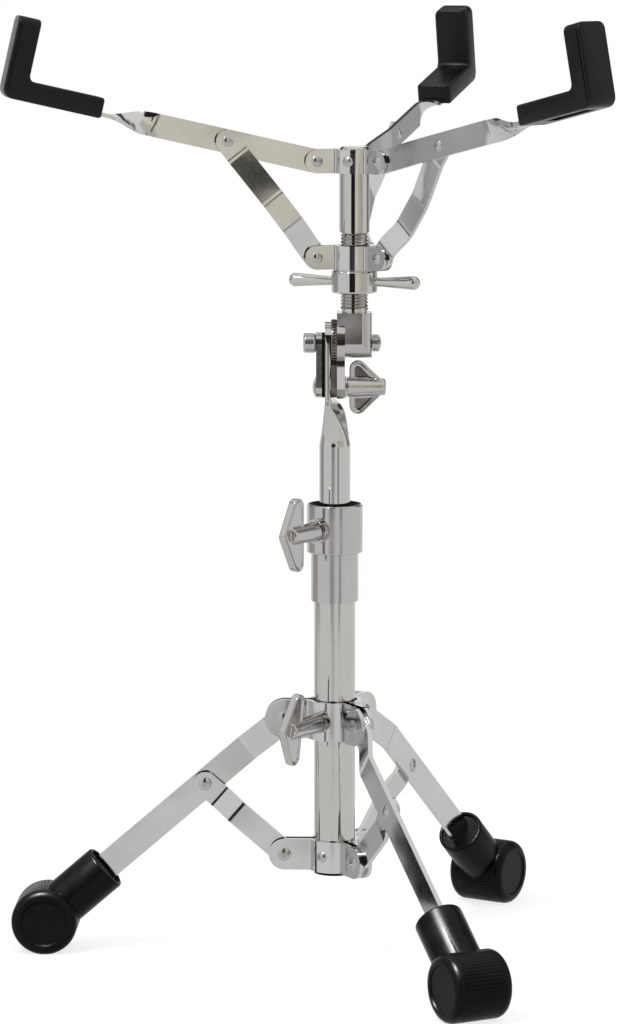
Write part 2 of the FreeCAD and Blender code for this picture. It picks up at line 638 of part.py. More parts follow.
def flat_section(drop):
    """Section of the mast at a drop below the pivot: round, then pressed flat, the near side first."""
    share = (FLATTEN_START - drop) / (FLATTEN_START - FLATTEN_END)
    nose = min(1, (FLATTEN_START - drop) / (FLATTEN_START - FLATTEN_NOSE))
    left = -MAST_R + (TONGUE_LEFT + MAST_R) * (1 - (1 - share) ** 1.4)
    reach = (TONGUE_WIDTH - TONGUE_THICKNESS) / 2
    ends = []
    for side, ease in ((-1, nose ** 1.5), (1, 0.35 * share + 0.65 * share ** 8)):
        right = MAST_R + (TONGUE_RIGHT - MAST_R) * ease
        radius = (right - left) / 2
        ends.append((Vector(left + radius, side * (SEAT_FIT + reach * ease), TILT_Z - drop), radius))
    (near, near_r), (far, far_r) = ends
    apart = far - near
    lean = (near_r - far_r) / apart.Length
    across = Vector(apart.y, -apart.x, 0).normalize() * math.sqrt(1 - lean * lean)
    outward = apart.normalize() * lean + across
    corners = [near - X_AXIS * near_r, far - X_AXIS * far_r]
    corners += [far + outward * far_r, near + outward * near_r]
    back = Part.Arc(corners[1], far + (outward - X_AXIS + Y_AXIS * 2).normalize() * far_r, corners[2])
    front = Part.Arc(corners[3], near + (outward - X_AXIS - Y_AXIS * 2).normalize() * near_r, corners[0])
    sides = [Part.makeLine(corners[0], corners[1]), Part.makeLine(corners[2], corners[3])]
    return Part.Wire([sides[0], back.toShape(), sides[1], front.toShape()])


def across_x(face, start, length):
    """Prism along X of a face drawn in XY, with the face's X along Y and its Y along Z."""
    prism = face.extrude(Vector(0, 0, length))
    prism.rotate(HERE, X_AXIS, 90)
    prism.rotate(HERE, Z_AXIS, 90)
    prism.translate(Vector(start, 0, 0))
    return prism


def x_bolt(radius, left, right, height):
    """Cylinder along X at a height on the mast's centre plane."""
    return Part.makeCylinder(radius, right - left, Vector(left, 0, height), X_AXIS)


def mast_pieces():
    """Mast tube, pressed flat at the top into the tilter's tongue, and its end guide."""
    start = TILT_Z - FLATTEN_START
    end = TILT_Z - FLATTEN_END
    step = (FLATTEN_START - FLATTEN_END) / NECK_STEPS
    drops = [FLATTEN_START - step * index for index in range(NECK_STEPS)] + [FLATTEN_END]
    neck = Part.makeLoft([flat_section(drop) for drop in drops], True, False)
    shaft = tube(MAST_R, MAST_R - MAST_WALL, MAST_BOTTOM, start - MAST_BOTTOM)
    half = TONGUE_WIDTH / 2
    tongue = Part.Face(flat_section(FLATTEN_END)).extrude(Vector(0, 0, FLATTEN_END + half))
    left = TONGUE_LEFT - OVERCUT
    right = TONGUE_RIGHT + OVERCUT
    mask = across_x(panel(half, end - half, TILT_Z), left, right - left)
    mask = mask.fuse(x_bolt(half, left, right, TILT_Z))
    tongue = tongue.common(mask.removeSplitter())
    body = neck.fuse([shaft, tongue]).removeSplitter()
    for height in (TILT_Z, LOCK_Z):
        body = body.cut(x_bolt(TILTER_BOLT_R + SEAT_FIT, left, right, height))
    bore = BASE_TUBE_R - BASE_TUBE_WALL
    guide = tube(bore - SLIDING_FIT, MAST_R + SEAT_FIT, MAST_BOTTOM, GUIDE_HEIGHT)
    return {"mast_tube": body, "mast_guide": guide}


def fan(inner, outer, half_angle):
    """Flat sector below the tilt pivot, in the XY plane with Y up."""
    def at(radius, degrees):
        return polar(radius, degrees - 90) + Vector(0, TILT_Z, 0)
    ends = [at(inner, -half_angle), at(outer, -half_angle)]
    ends += [at(outer, half_angle), at(inner, half_angle)]
    edges = [Part.makeLine(ends[0], ends[1]), Part.Arc(ends[1], at(outer, 0), ends[2]).toShape()]
    edges += [Part.makeLine(ends[2], ends[3]), Part.Arc(ends[3], at(inner, 0), ends[0]).toShape()]
    return Part.Face(Part.Wire(Part.__sortEdges__(edges)))


def bracket_block():
    """Tilting bracket: slotted quadrant beside the ratchet disc, and the block below the post."""
    half = BLOCK_WIDTH / 2
    column = panel(half, TILT_Z, BRACKET_Z)
    body = across_x(column, QUADRANT_LEFT, BLOCK_RIGHT - QUADRANT_LEFT)
    body = body.fuse(x_bolt(half, QUADRANT_LEFT, BLOCK_RIGHT, TILT_Z))
    plan = [(QUADRANT_LEFT, -half, 0), (BLOCK_RIGHT, -half, BLOCK_CORNER)]
    plan += [(BLOCK_RIGHT, half, BLOCK_CORNER), (QUADRANT_LEFT, half, 0)]
    mask = rounded_face(plan).extrude(Vector(0, 0, half + BRACKET_TOP))
    mask.translate(Vector(0, 0, TILT_Z - half))
    body = body.common(mask)
    slot_half = TILTER_BOLT_R + PIVOT_GAP
    reach = slot_half + LOCK_MARGIN
    edge_angle = TILT_LIMIT + math.degrees(reach / LOCK_RADIUS)
    plate = fan(half / 2, LOCK_RADIUS + reach, edge_angle)
    wing = across_x(plate, QUADRANT_LEFT, QUADRANT_THICKNESS)
    disc = x_bolt(DISC_R, QUADRANT_LEFT, QUADRANT_RIGHT, TILT_Z)
    body = body.fuse([wing, disc]).removeSplitter()
    left = QUADRANT_LEFT - OVERCUT
    right = QUADRANT_RIGHT + OVERCUT
    track = fan(LOCK_RADIUS - slot_half, LOCK_RADIUS + slot_half, TILT_LIMIT)
    slot = across_x(track, left, right - left)
    for sign in (-1, 1):
        end = x_bolt(slot_half, left, right, LOCK_Z)
        end.rotate(Vector(0, 0, TILT_Z), X_AXIS, sign * TILT_LIMIT)
        slot = slot.fuse(end)
    body = body.cut(slot)
    return body.cut(x_bolt(TILTER_BOLT_R + RUNNING_FIT, left, BLOCK_RIGHT + OVERCUT, TILT_Z))


def bolt_strip(left, right):
    """Strip with round ends that ties the pivot bolt to the lock bolt."""
    body = across_x(panel(STRAP_HALF, LOCK_Z, TILT_Z), left, right - left)
    for height in (TILT_Z, LOCK_Z):
        body = body.fuse(x_bolt(STRAP_HALF, left, right, height))
    body = body.removeSplitter()
    hole_r = TILTER_BOLT_R + SEAT_FIT
    for height in (TILT_Z, LOCK_Z):
        body = body.cut(x_bolt(hole_r, left - OVERCUT, right + OVERCUT, height))
    return body


def tilter_pivot():
    """Bolt at the tilt pivot, with a rounded drum head, and its domed nut."""
    bolt_end = BLOCK_RIGHT + PIVOT_NUT_LENGTH / 2
    bolt = x_bolt(TILTER_BOLT_R, STRAP_LEFT, bolt_end, TILT_Z)
    head = x_bolt(PIVOT_HEAD_R, STRAP_LEFT - PIVOT_HEAD_LENGTH, STRAP_LEFT, TILT_Z)
    head = head.makeFillet(min(PIVOT_HEAD_R, PIVOT_HEAD_LENGTH) / 4, rims(head))
    nut_end = BLOCK_RIGHT + PIVOT_NUT_LENGTH
    nut = x_bolt(PIVOT_NUT_R, BLOCK_RIGHT + PIVOT_GAP, nut_end, TILT_Z)
    nut = nut.fuse(dome(PIVOT_NUT_R, PIVOT_NUT_R / 3, Vector(nut_end, 0, TILT_Z), X_AXIS))
    nut = nut.removeSplitter().cut(x_bolt(TILTER_BOLT_R + SEAT_FIT, TONGUE_RIGHT, bolt_end, TILT_Z))
    return bolt.fuse(head).removeSplitter(), nut


def tilter_wing(start, end):
    """Wing nut on the lock bolt."""
    hub = Part.makeCone(TILTER_WING_HUB_R + WING_EDGE, TILTER_WING_HUB_R, end - start, HERE, X_AXIS)
    wing = wing_plate(WING_EDGE, end - start, TILTER_WING_SPAN).fuse(hub).removeSplitter()
    wing.translate(Vector(start, 0, LOCK_Z))
    return wing.cut(x_bolt(TILTER_BOLT_R + RUNNING_FIT, QUADRANT_LEFT, end + OVERCUT, LOCK_Z))


def tilter_pieces():
    """Ratchet tilter between the mast and the basket post."""
    hole_r = TILTER_BOLT_R + SEAT_FIT
    disc = x_bolt(DISC_R, TONGUE_RIGHT, QUADRANT_LEFT, TILT_Z)
    disc = disc.fuse(bolt_strip(TONGUE_RIGHT, QUADRANT_LEFT)).removeSplitter()
    disc = disc.cut(x_bolt(hole_r, TONGUE_RIGHT - OVERCUT, QUADRANT_LEFT + OVERCUT, TILT_Z))
    pivot, nut = tilter_pivot()
    wing_start = QUADRANT_RIGHT + TILTER_WASHER
    wing_end = wing_start + TILTER_WING_LENGTH
    lock = x_bolt(TILTER_BOLT_R, STRAP_LEFT, wing_end - TILTER_BOLT_R, LOCK_Z)
    head_base = Vector(STRAP_LEFT, 0, LOCK_Z)
    lock = lock.fuse(dome(LOCK_HEAD_R, LOCK_HEAD_LENGTH, head_base, X_AXIS * -1))
    washer = x_bolt(TILTER_WASHER_R, QUADRANT_RIGHT, wing_start - PIVOT_GAP, LOCK_Z)
    return {
        "tilter_ratchet_disc": disc,
        "tilter_strap": bolt_strip(STRAP_LEFT, STRAP_RIGHT),
        "tilter_spacer": bolt_strip(STRAP_RIGHT, TONGUE_LEFT),
        "tilter_pivot_bolt": pivot,
        "tilter_pivot_nut": nut,
        "tilter_lock_bolt": lock.removeSplitter(),
        "tilter_washer": washer.cut(x_bolt(hole_r, QUADRANT_LEFT, wing_start, LOCK_Z)),
        "tilter_wing_nut": tilter_wing(wing_start, wing_end),
        "tilter_bracket": bracket_block(),
    }


def basket_post():
    """Post with its thread as close rings below the plain shank."""
    count = int(THREAD_LENGTH / THREAD_PITCH)
    root = THREAD_R - THREAD_DEPTH
    profile = [Vector(0, 0, 0), Vector(root, 0, 0)]
    for index in range(count):
        low = index * THREAD_PITCH
        profile.append(Vector(THREAD_R, 0, low + THREAD_PITCH / 2))
        profile.append(Vector(root, 0, low + THREAD_PITCH))
    profile += [Vector(root, 0, THREAD_LENGTH), Vector(POST_R, 0, THREAD_LENGTH)]
    top = THREAD_LENGTH + POST_LENGTH
    profile += [Vector(POST_R, 0, top - WING_EDGE), Vector(POST_R - WING_EDGE, 0, top)]
    profile += [Vector(0, 0, top), HERE]
    clean = [profile[0]] + [b for a, b in zip(profile, profile[1:]) if (b - a).Length > SEAT_FIT]
    post = Part.Face(Part.makePolygon(clean)).revolve(HERE, Z_AXIS, 360)
    post.translate(Vector(POST_X, 0, BRACKET_Z))
    middle = Vector(POST_X, 0, UPPER_HUB_Z)
    for index in range(3):
        aim = polar(1, ARM_AZIMUTH + 60 + 120 * index)
        start = middle + aim * (POST_R / 2)
        post = post.cut(Part.makeCylinder(HUB_SCREW_R + SEAT_FIT, HUB_RING_R, start, aim))
    return post


def upper_ring():
    """Ring that the upper hub plates hug, drilled for their screws."""
    ring = tube(HUB_RING_R, POST_R + SEAT_FIT, -HUB_HEIGHT / 2, HUB_HEIGHT)
    for index in range(3):
        aim = polar(1, 60 + 120 * index)
        ring = ring.cut(Part.makeCylinder(HUB_SCREW_R + SEAT_FIT, 2 * HUB_RING_R, HERE, aim))
    return ring


def hub_pieces():
    """Fixed upper hub and sliding lower hub of the basket."""
    half = ARM_GAP / 2 + HUB_LUG_PLATE
    through = rivet(HUB_RIVET_R, HUB_HEAD_R, HUB_HEAD_HEIGHT, -half, half)
    wide = 2 * HUB_HEAD_R
    gap = Part.makeBox(wide, ARM_GAP, wide, Vector(-HUB_HEAD_R, -ARM_GAP / 2, -HUB_HEAD_R))
    stubs = through.cut(gap)
    ears = (HUB_RING_R, ARM_GAP, HUB_LUG_PLATE, HUB_PIVOT_R, HUB_HEIGHT, HUB_RIVET_R)
    screws = radial_screws(POST_R / 2 + SEAT_FIT, HUB_RING_R + HUB_LUG_PLATE)
    slider = tube(HUB_RING_R, POST_R + SLIDING_FIT, -HUB_HEIGHT / 2, HUB_HEIGHT)
    upper = (ARM_AZIMUTH, POST_X, UPPER_HUB_Z)
    lower = (ARM_AZIMUTH, POST_X, LOWER_HUB_Z)
    return {
        "upper_hub_plates": compound(ear_plates(*ears, HUB_SCREW_R), *upper),
        "upper_hub_ring": compound([upper_ring()], *upper),
        "upper_hub_screws": compound(screws, *upper),
        "upper_hub_rivets": compound(three_rivets(through, HUB_PIVOT_R), *upper),
        "lower_hub_plates": compound(ear_plates(*ears, 0), *lower),
        "lower_hub_ring": compound([slider], *lower),
        "lower_hub_rivets": compound(three_rivets(stubs, HUB_PIVOT_R), *lower),
    }


def flared_handle(seat, height):
    """Handle rod along X from its seat in the nut, flared to a round tip."""
    tip = HANDLE_REACH - HANDLE_TIP_R - seat
    points = [HERE, Vector(0, HANDLE_ROOT_R, 0), Vector(HANDLE_SINK, HANDLE_ROOT_R, 0)]
    points.append(Vector(tip, HANDLE_TIP_R, 0))
    end = Vector(tip + HANDLE_TIP_R, 0, 0)
    bulge = polar(HANDLE_TIP_R, 45) + Vector(tip, 0, 0)
    edges = [Part.makeLine(a, b) for a, b in zip(points, points[1:])]
    edges += [Part.Arc(points[-1], bulge, end).toShape(), Part.makeLine(end, HERE)]
    handle = Part.Face(Part.Wire(edges)).revolve(HERE, X_AXIS, 360)
    handle.translate(Vector(seat, 0, height))
    return handle


def nut_pieces():
    """Adjusting nut, its two flared handles and the washer that the lower hub rests on."""
    middle = NUT_HEIGHT / 2
    nut = upright(NUT_R, 0, NUT_HEIGHT)
    nut = nut.makeFillet(NUT_EDGE, rims(nut))
    nut = nut.cut(upright(THREAD_R + RUNNING_FIT, 0, NUT_HEIGHT))
    seat = NUT_R - HANDLE_SINK
    hole = Part.makeCylinder(HANDLE_ROOT_R + SEAT_FIT, NUT_R, Vector(seat, 0, middle), X_AXIS)
    nut = nut.cut(hole).cut(turned(hole, 180))
    handle = flared_handle(seat, middle)
    washer = tube(THRUST_WASHER_R, POST_R + SLIDING_FIT, 0, THRUST_WASHER)
    place = (HANDLE_TURN, POST_X, NUT_Z)
    return {
        "adjuster_nut": compound([nut], *place),
        "adjuster_handles": compound([handle, turned(handle, 180)], *place),
        "thrust_washer": compound([washer], 0, POST_X, NUT_Z + NUT_HEIGHT),
    }


def tang_path(start, end_height):
    """Centre line of the flat tang inside a claw: along the arm, then up the claw's wall."""
    corner = CLAW_REACH + CLAW_WALL_THICKNESS / 2
    return [(start, -TANG_DROP), (corner, -TANG_DROP), (corner, end_height - TANG_DROP)]


def tang_bar(start, end_height, grow):
    """Tang bar, or its pocket when grown by a clearance."""
    bar = bent_bar(tang_path(start, end_height), ARM_THICKNESS + 2 * grow, TANG_WIDTH + 2 * grow)
    bar.rotate(HERE, X_AXIS, 90)
    bar.translate(Vector(0, -ARM_OFFSET, 0))
    return bar


def twist_section(share):
    """Section of the arm strap as it turns from upright to flat."""
    ease = share * share * (3 - 2 * share)
    width = ARM_WIDTH + (TANG_WIDTH - ARM_WIDTH) * ease
    turn = 90 * ease
    along = TWIST_START + TWIST_LENGTH * share
    middle = Vector(along, -ARM_OFFSET, -TANG_DROP * ease)
    corners = []
    for y, z in ((-1, -1), (1, -1), (1, 1), (-1, 1)):
        corners.append(Vector(along, y * ARM_THICKNESS / 2, z * width / 2))
    wire = Part.makePolygon(corners + [corners[0]])
    wire.rotate(Vector(along, 0, 0), X_AXIS, turn)
    wire.translate(middle - Vector(along, 0, 0))
    return wire


def arm_bar():
    """Basket arm: strap on edge at the hub, twisted flat before it enters its claw."""
    jog_end = ARM_JOG_START + ARM_JOG_RUN
    path = [(-ARM_WIDTH, 0), (ARM_JOG_START, 0)]
    path += [(jog_end, -ARM_OFFSET), (TWIST_START, -ARM_OFFSET)]
    bar = bent_bar(path, ARM_THICKNESS, ARM_WIDTH)
    bar = bar.common(round_end_mask(ARM_WIDTH, TWIST_START, False))
    bar = bar.cut(cross_hole(HUB_RIVET_R + RUNNING_FIT, 0))
    bar = bar.cut(cross_hole(HUB_RIVET_R + SEAT_FIT, STRUT_ON_ARM))
    sections = [twist_section(index / LOFT_STEPS) for index in range(LOFT_STEPS + 1)]
    twist = Part.makeLoft(sections, True, False)
    tang = tang_bar(TWIST_START + TWIST_LENGTH, TANG_HEIGHT, 0)
    return bar.fuse([twist, tang])


def claw_block():
    """Rubber claw: base along the arm, upright wall at its outer end, and the tang's pocket."""
    low = -TANG_DROP - ARM_THICKNESS / 2 - CLAW_UNDER
    seat = low + CLAW_BASE_THICKNESS
    top = low + CLAW_HEIGHT
    soft = 1.5 * CLAW_EDGE
    outline = [(CLAW_START, low, soft), (CLAW_BACK, low, CLAW_HEEL_R), (CLAW_BACK, top, soft)]
    outline += [(CLAW_REACH, top, soft), (CLAW_REACH, seat, CLAW_INNER_R)]
    outline.append((CLAW_START, seat, soft))
    body = rounded_face(outline).extrude(Vector(0, 0, CLAW_WIDTH))
    body.translate(Vector(0, 0, -CLAW_WIDTH / 2))
    side = CLAW_WIDTH / 2 - SEAT_FIT
    outer_edges = [edge for edge in body.Edges if abs(edge.CenterOfMass.z) > side]
    body = body.makeFillet(CLAW_EDGE, outer_edges)
    body.rotate(HERE, X_AXIS, 90)
    body.translate(Vector(0, -ARM_OFFSET, 0))
    return body.cut(tang_bar(CLAW_START - CLAW_EDGE, TANG_HEIGHT + RUBBER_FIT, RUBBER_FIT))


def strut_bar():
    """Strut from the lower hub to the arm, bowed sideways so that it passes the upper ears."""
    low_end = STRUT_LOW_JOG + STRUT_JOG_RUN
    top_start = STRUT_LENGTH - STRUT_TOP_JOG
    path = [(-ARM_WIDTH, 0), (STRUT_LOW_JOG, 0), (low_end, STRUT_OFFSET)]
    path += [(top_start - STRUT_TOP_RUN, STRUT_OFFSET), (top_start, STRUT_TOP_OFFSET)]
    path.append((STRUT_LENGTH + ARM_WIDTH, STRUT_TOP_OFFSET))
    bar = bent_bar(path, ARM_THICKNESS, ARM_WIDTH, STRUT_BEND)
    bar = bar.common(round_end_mask(ARM_WIDTH, STRUT_LENGTH, True))
    for along in (0, STRUT_LENGTH):
        bar = bar.cut(cross_hole(HUB_RIVET_R + RUNNING_FIT, along))
    return bar


def basket_pieces():
    """Arms, claws, struts and the rivets between arms and struts."""
    pieces = {}
    arm = from_pivot(arm_bar(), HUB_PIVOT_R, UPPER_HUB_Z, ARM_RISE)
    claw = from_pivot(claw_block(), HUB_PIVOT_R, UPPER_HUB_Z, ARM_RISE)
    strut = from_pivot(strut_bar(), HUB_PIVOT_R, LOWER_HUB_Z, STRUT_SLOPE)
    low = -ARM_OFFSET - ARM_THICKNESS / 2
    high = STRUT_TOP_OFFSET + ARM_THICKNESS / 2 + PIVOT_GAP
    pin = rivet(HUB_RIVET_R, HUB_HEAD_R, HUB_HEAD_HEIGHT, low, high)
    pin.translate(Vector(STRUT_ON_ARM, 0, 0))
    pin = from_pivot(pin, HUB_PIVOT_R, UPPER_HUB_Z, ARM_RISE)
    for name, azimuth in ARMS.items():
        pieces["arm_" + name] = turned(arm, azimuth, POST_X)
        pieces["claw_" + name] = turned(claw, azimuth, POST_X)
        pieces["strut_" + name] = turned(strut, azimuth, POST_X)
        pieces["arm_strut_rivet_" + name] = turned(pin, azimuth, POST_X)
    return pieces


def main():
    """Write every piece to its own file."""
    pieces = {}
    groups = [base_pieces, lower_collar_pieces, leg_collar_pieces, tripod_pieces]
    groups += [height_clamp_pieces, mast_pieces, tilter_pieces]
    groups += [hub_pieces, nut_pieces, basket_pieces]
    for group in groups:
        pieces.update(group())
    pieces["basket_post"] = basket_post()
    os.makedirs("parts", exist_ok=True)
    for name, shape in pieces.items():
        shape.exportStep("parts/" + name + ".step")


main()
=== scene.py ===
import contextlib
import json
import math

import bmesh
import bpy
from bpy.props import FloatProperty, FloatVectorProperty, IntProperty, PointerProperty
from mathutils import Matrix, Vector

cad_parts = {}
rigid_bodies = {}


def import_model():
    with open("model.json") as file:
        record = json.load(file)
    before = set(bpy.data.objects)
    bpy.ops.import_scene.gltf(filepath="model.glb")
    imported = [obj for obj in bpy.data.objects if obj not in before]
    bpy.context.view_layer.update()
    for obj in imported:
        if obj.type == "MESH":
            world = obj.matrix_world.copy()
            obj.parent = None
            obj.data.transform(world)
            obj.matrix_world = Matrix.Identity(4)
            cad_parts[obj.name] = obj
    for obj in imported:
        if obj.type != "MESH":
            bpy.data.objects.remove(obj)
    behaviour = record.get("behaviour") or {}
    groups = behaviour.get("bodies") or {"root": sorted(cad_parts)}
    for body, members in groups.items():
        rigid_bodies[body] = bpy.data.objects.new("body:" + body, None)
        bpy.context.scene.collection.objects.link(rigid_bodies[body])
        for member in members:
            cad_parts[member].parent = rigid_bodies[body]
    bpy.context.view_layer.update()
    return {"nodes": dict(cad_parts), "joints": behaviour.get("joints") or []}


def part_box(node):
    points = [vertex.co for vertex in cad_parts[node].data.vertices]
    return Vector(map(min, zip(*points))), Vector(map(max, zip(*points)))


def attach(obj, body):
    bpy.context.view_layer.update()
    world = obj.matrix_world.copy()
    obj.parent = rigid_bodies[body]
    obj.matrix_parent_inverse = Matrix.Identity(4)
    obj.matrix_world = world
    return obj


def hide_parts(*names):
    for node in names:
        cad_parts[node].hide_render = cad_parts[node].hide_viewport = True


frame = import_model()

bl_info = {
    "name": "Snare drum stand",
    "version": (1, 0, 0),
    "blender": (4, 5, 0),
    "location": "View3D > Sidebar > Stand",
    "description": "Dresses the stand with rubber, wings, thread, finishes and a studio",
    "category": "Object",
}

JOINTS = {joint["name"]: joint for joint in frame["joints"]}
ARM_HINGES = {"left": "basket_fold", "right": "arm_right_fold", "back": "arm_back_fold"}
LEG_HINGES = {"left": "leg_left_hinge", "front": "leg_front_hinge", "back": "leg_back_hinge"}
X_AXIS = Vector((1, 0, 0))
Y_AXIS = Vector((0, 1, 0))
Z_AXIS = Vector((0, 0, 1))
# Places this near count as one, doubles this near are merged, and cutters stand out this far.
TOUCH = 0.00005
MERGE = 0.000005
MARGIN = 0.001
# Steeper corners stay crisp, and flatter ones are dissolved.
SHARP = math.radians(35)
FLAT = math.radians(1)
# Cosines above and below which a direction lies along or across an axis.
ALONG = 0.999
ACROSS = 0.01
WHITE = (1, 1, 1, 1)


def length(name, default, description):
    """Length property in metres."""
    return FloatProperty(name=name, description=description, default=default, min=0.0, precision=5,
                         unit="LENGTH")


def angle(name, degrees, description):
    """Angle property."""
    return FloatProperty(name=name, description=description, default=math.radians(degrees),
                         unit="ROTATION")


def colour(name, default, description):
    """Colour property."""
    return FloatVectorProperty(name=name, description=description, default=default, size=3,
                               min=0.0, max=1.0, subtype="COLOR")


def share(name, default, description):
    """Share or brightness property, where 1 is full."""
    return FloatProperty(name=name, description=description, default=default, min=0.0,
                         soft_max=1.0, subtype="FACTOR")


class ClawSizes(bpy.types.PropertyGroup):
    """Rubber claw, measured along its arm from the hub pivot."""
    rise: angle("Arm rise", 13.0, "Slope of the arm at rest")
    offset: length("Side offset", 0.003, "Distance from the hinge plane to the middle of the claw")
    reach: length("Reach", 0.1825, "Hub pivot to the inner face of the wall")
    wall: length("Wall", 0.014, "Thickness of the upright wall")
    base: length("Base", 0.061, "Length of the base along the arm")
    thick: length("Base thickness", 0.0125, "Thickness of the base")
    height: length("Height", 0.0495, "Underside to the top of the wall")
    width: length("Width", 0.022, "Width across the claw")
    low: length("Underside", 0.00325, "Depth of the underside below the arm's axis")
    crown: length("Crown", 0.0045, "Rounding of the top corners")
    heel: length("Heel", 0.006, "Rounding of the outer lower edge")
    inner: length("Inner corner", 0.0035, "Rounding between base and wall")
    edge: length("Edge", 0.0018, "Rounding of the other edges")
    groove: length("Groove", 0.0009, "Width of the moulded line")
    groove_place: length("Groove place", 0.00198, "Outer face to the moulded line")
    groove_depth: length("Groove depth", 0.00063, "Depth of the moulded line")
    tang_low: length("Tang underside", 0.00215, "Depth of the tang's pocket below the arm's axis")
    tang_high: length("Tang top", 0.00055, "Height of the tang's pocket above the arm's axis")
    tang_half: length("Tang half width", 0.0066, "Half width of the tang's pocket")
    tab_half: length("Tab half thickness", 0.00135, "Half thickness of the upright tab's pocket")
    tab_top: length("Tab top", 0.0313, "Height of the upright tab's pocket")
    window_half: length("Window half width", 0.0048, "Half width of the window below the tang")
    window_inner: length("Window inner end", 0.016, "Inner end of the claw to the window")
    window_outer: length("Window outer end", 0.011, "Window to the outer face of the claw")


class FootSizes(bpy.types.PropertyGroup):
    """Rubber foot, measured along its leg from the brace rivet."""
    slope: angle("Leg slope", 40.8, "Slope of the leg below the horizontal at rest")
    along: length("Along", 0.1322, "Brace rivet to the middle of the barrel")
    radius: length("Barrel radius", 0.0206, "Radius of the cross barrel")
    barrel: length("Barrel length", 0.038, "Length of the cross barrel")
    edge: length("Barrel edge", 0.005, "Rounding of the barrel's ends")
    sleeve_radius: length("Sleeve radius", 0.0148, "Radius of the sleeve")
    sleeve: length("Sleeve length", 0.050, "Barrel axis to the sleeve's mouth")
    rim: length("Rim", 0.0022, "Wall of the sleeve at its mouth")
    mouth: length("Mouth depth", 0.002, "Depth of the hollow mouth")
    lip: length("Lip", 0.0016, "Rounding of the mouth's outer edge")
    lip_inner: length("Inner lip", 0.0005, "Rounding of the mouth's inner edge")
    face_rim: length("Face rim", 0.0011, "Rim round the barrel's end faces")
    face_slope: length("Face slope", 0.0007, "Width of the slope inside that rim")
    face_depth: length("Face depth", 0.0009, "Depth of the sunk end faces")
    ribs: IntProperty(name="Ribs", description="Number of tread ribs round the barrel", default=60)
    rib_depth: length("Rib depth", 0.0003, "Depth of the grooves between the ribs")
    rib_slope: length("Rib slope", 0.00022, "Width of the ribs' sloping sides")


class WingSizes(bpy.types.PropertyGroup):
    """Cast wings of the clamp screws and of the tilter."""
    length: length("Wing length", 0.020, "Wing from its inner to its outer edge")
    span: length("Wing span", 0.045, "Wing from tip to tip")
    tip: length("Tip radius", 0.0052, "Radius of the round tips")
    point: length("Point radius", 0.004, "Radius of the blunt outer point")
    thick: length("Wing thickness", 0.005, "Thickness at the rim")
    rim: length("Rim", 0.0013, "Width of the raised rim")
    recess: length("Recess", 0.0011, "Depth of the faces below the rim")
    hub: length("Hub radius", 0.0062, "Radius of the hub at its seat")
    screw: length("Screw radius", 0.003, "Radius of the threaded end")
    bore: length("Bore", 0.0031, "Radius of the tilter nut's bore")
    tilter_inner: length("Tilter wing start", 0.0015, "Tilter nut's seat to the wing's inner edge")
    tilter_length: length("Tilter wing length", 0.024, "Tilter nut from its seat to its outer end")
    tilter_span: length("Tilter wing span", 0.033, "Tilter wing from tip to tip")
    tilter_hub: length("Tilter hub radius", 0.0062, "Radius of the tilter hub at its seat")
    grain: length("Mesh grain", 0.00033, "Size of the cast mesh's faces")


class PostSizes(bpy.types.PropertyGroup):
    """Basket post with its helical thread."""
    thread_radius: length("Thread radius", 0.00875, "Radius over the thread's crests")
    thread_depth: length("Thread depth", 0.0009, "Height of the thread")
    pitch: length("Pitch", 0.002, "Rise of the thread per turn")
    thread: length("Thread length", 0.049, "Length of the threaded part")
    radius: length("Shank radius", 0.0093, "Radius of the plain shank")
    shank: length("Shank length", 0.052, "Length of the plain shank")
    chamfer: length("Chamfer", 0.0014, "Chamfer at the top")


class RatchetSizes(bpy.types.PropertyGroup):
    """Toothed plate of the tilter."""
    teeth: IntProperty(name="Teeth", description="Number of teeth round the disc", default=44)
    depth: length("Tooth depth", 0.0008, "Depth of the gaps between the teeth")
    flank: length("Tooth flank", 0.0001, "Width of the teeth's sloping sides")
    rim: length("Rim", 0.0006, "Rounding of the disc's rim")
    tail: length("Tail", 0.0065, "Half width of the tail at the lock bolt")
    bore: length("Bore", 0.00305, "Radius of the bolt holes")


class FinishColours(bpy.types.PropertyGroup):
    """Colours of the metal, rubber and nylon."""
    chrome: colour("Chrome", (0.56, 0.55, 0.53), "Bright plating")
    chrome_dull: colour("Dull chrome", (0.50, 0.487, 0.464), "Plating under a film of handling")
    strap: colour("Strap chrome", (0.60, 0.596, 0.588), "Plating on the flat straps")
    strap_dull: colour("Dull strap", (0.53, 0.524, 0.512), "Handled plating on the flat straps")
    cast: colour("Cast chrome", (0.52, 0.508, 0.492), "Plating on castings")
    cast_dull: colour("Dull casting", (0.43, 0.420, 0.407), "Plating in a casting's hollows")
    fastener: colour("Fastener", (0.50, 0.495, 0.49), "Plated rivets and screws")
    fastener_dull: colour("Dull fastener", (0.36, 0.352, 0.34), "Worn plating on fasteners")
    steel: colour("Ratchet steel", (0.20, 0.18, 0.16), "Oiled steel of the ratchet plate")
    steel_dull: colour("Dull ratchet steel", (0.11, 0.10, 0.09), "Oil between the teeth")
    claw: colour("Claw rubber", (0.0038, 0.0038, 0.0043), "Satin rubber of the claws")
    claw_dust: colour("Claw dust", (0.0080, 0.0080, 0.0085), "Rubber with a trace of dust")
    foot: colour("Foot rubber", (0.0008, 0.0008, 0.0008), "Rubber of the feet")
    foot_dust: colour("Foot dust", (0.0024, 0.0024, 0.0025), "Foot rubber with a trace of dust")
    nylon: colour("Nylon", (0.0040, 0.0040, 0.0043), "Bushes and plugs")
    nylon_dust: colour("Scuffed nylon", (0.0110, 0.0110, 0.0115), "Rubbed nylon")


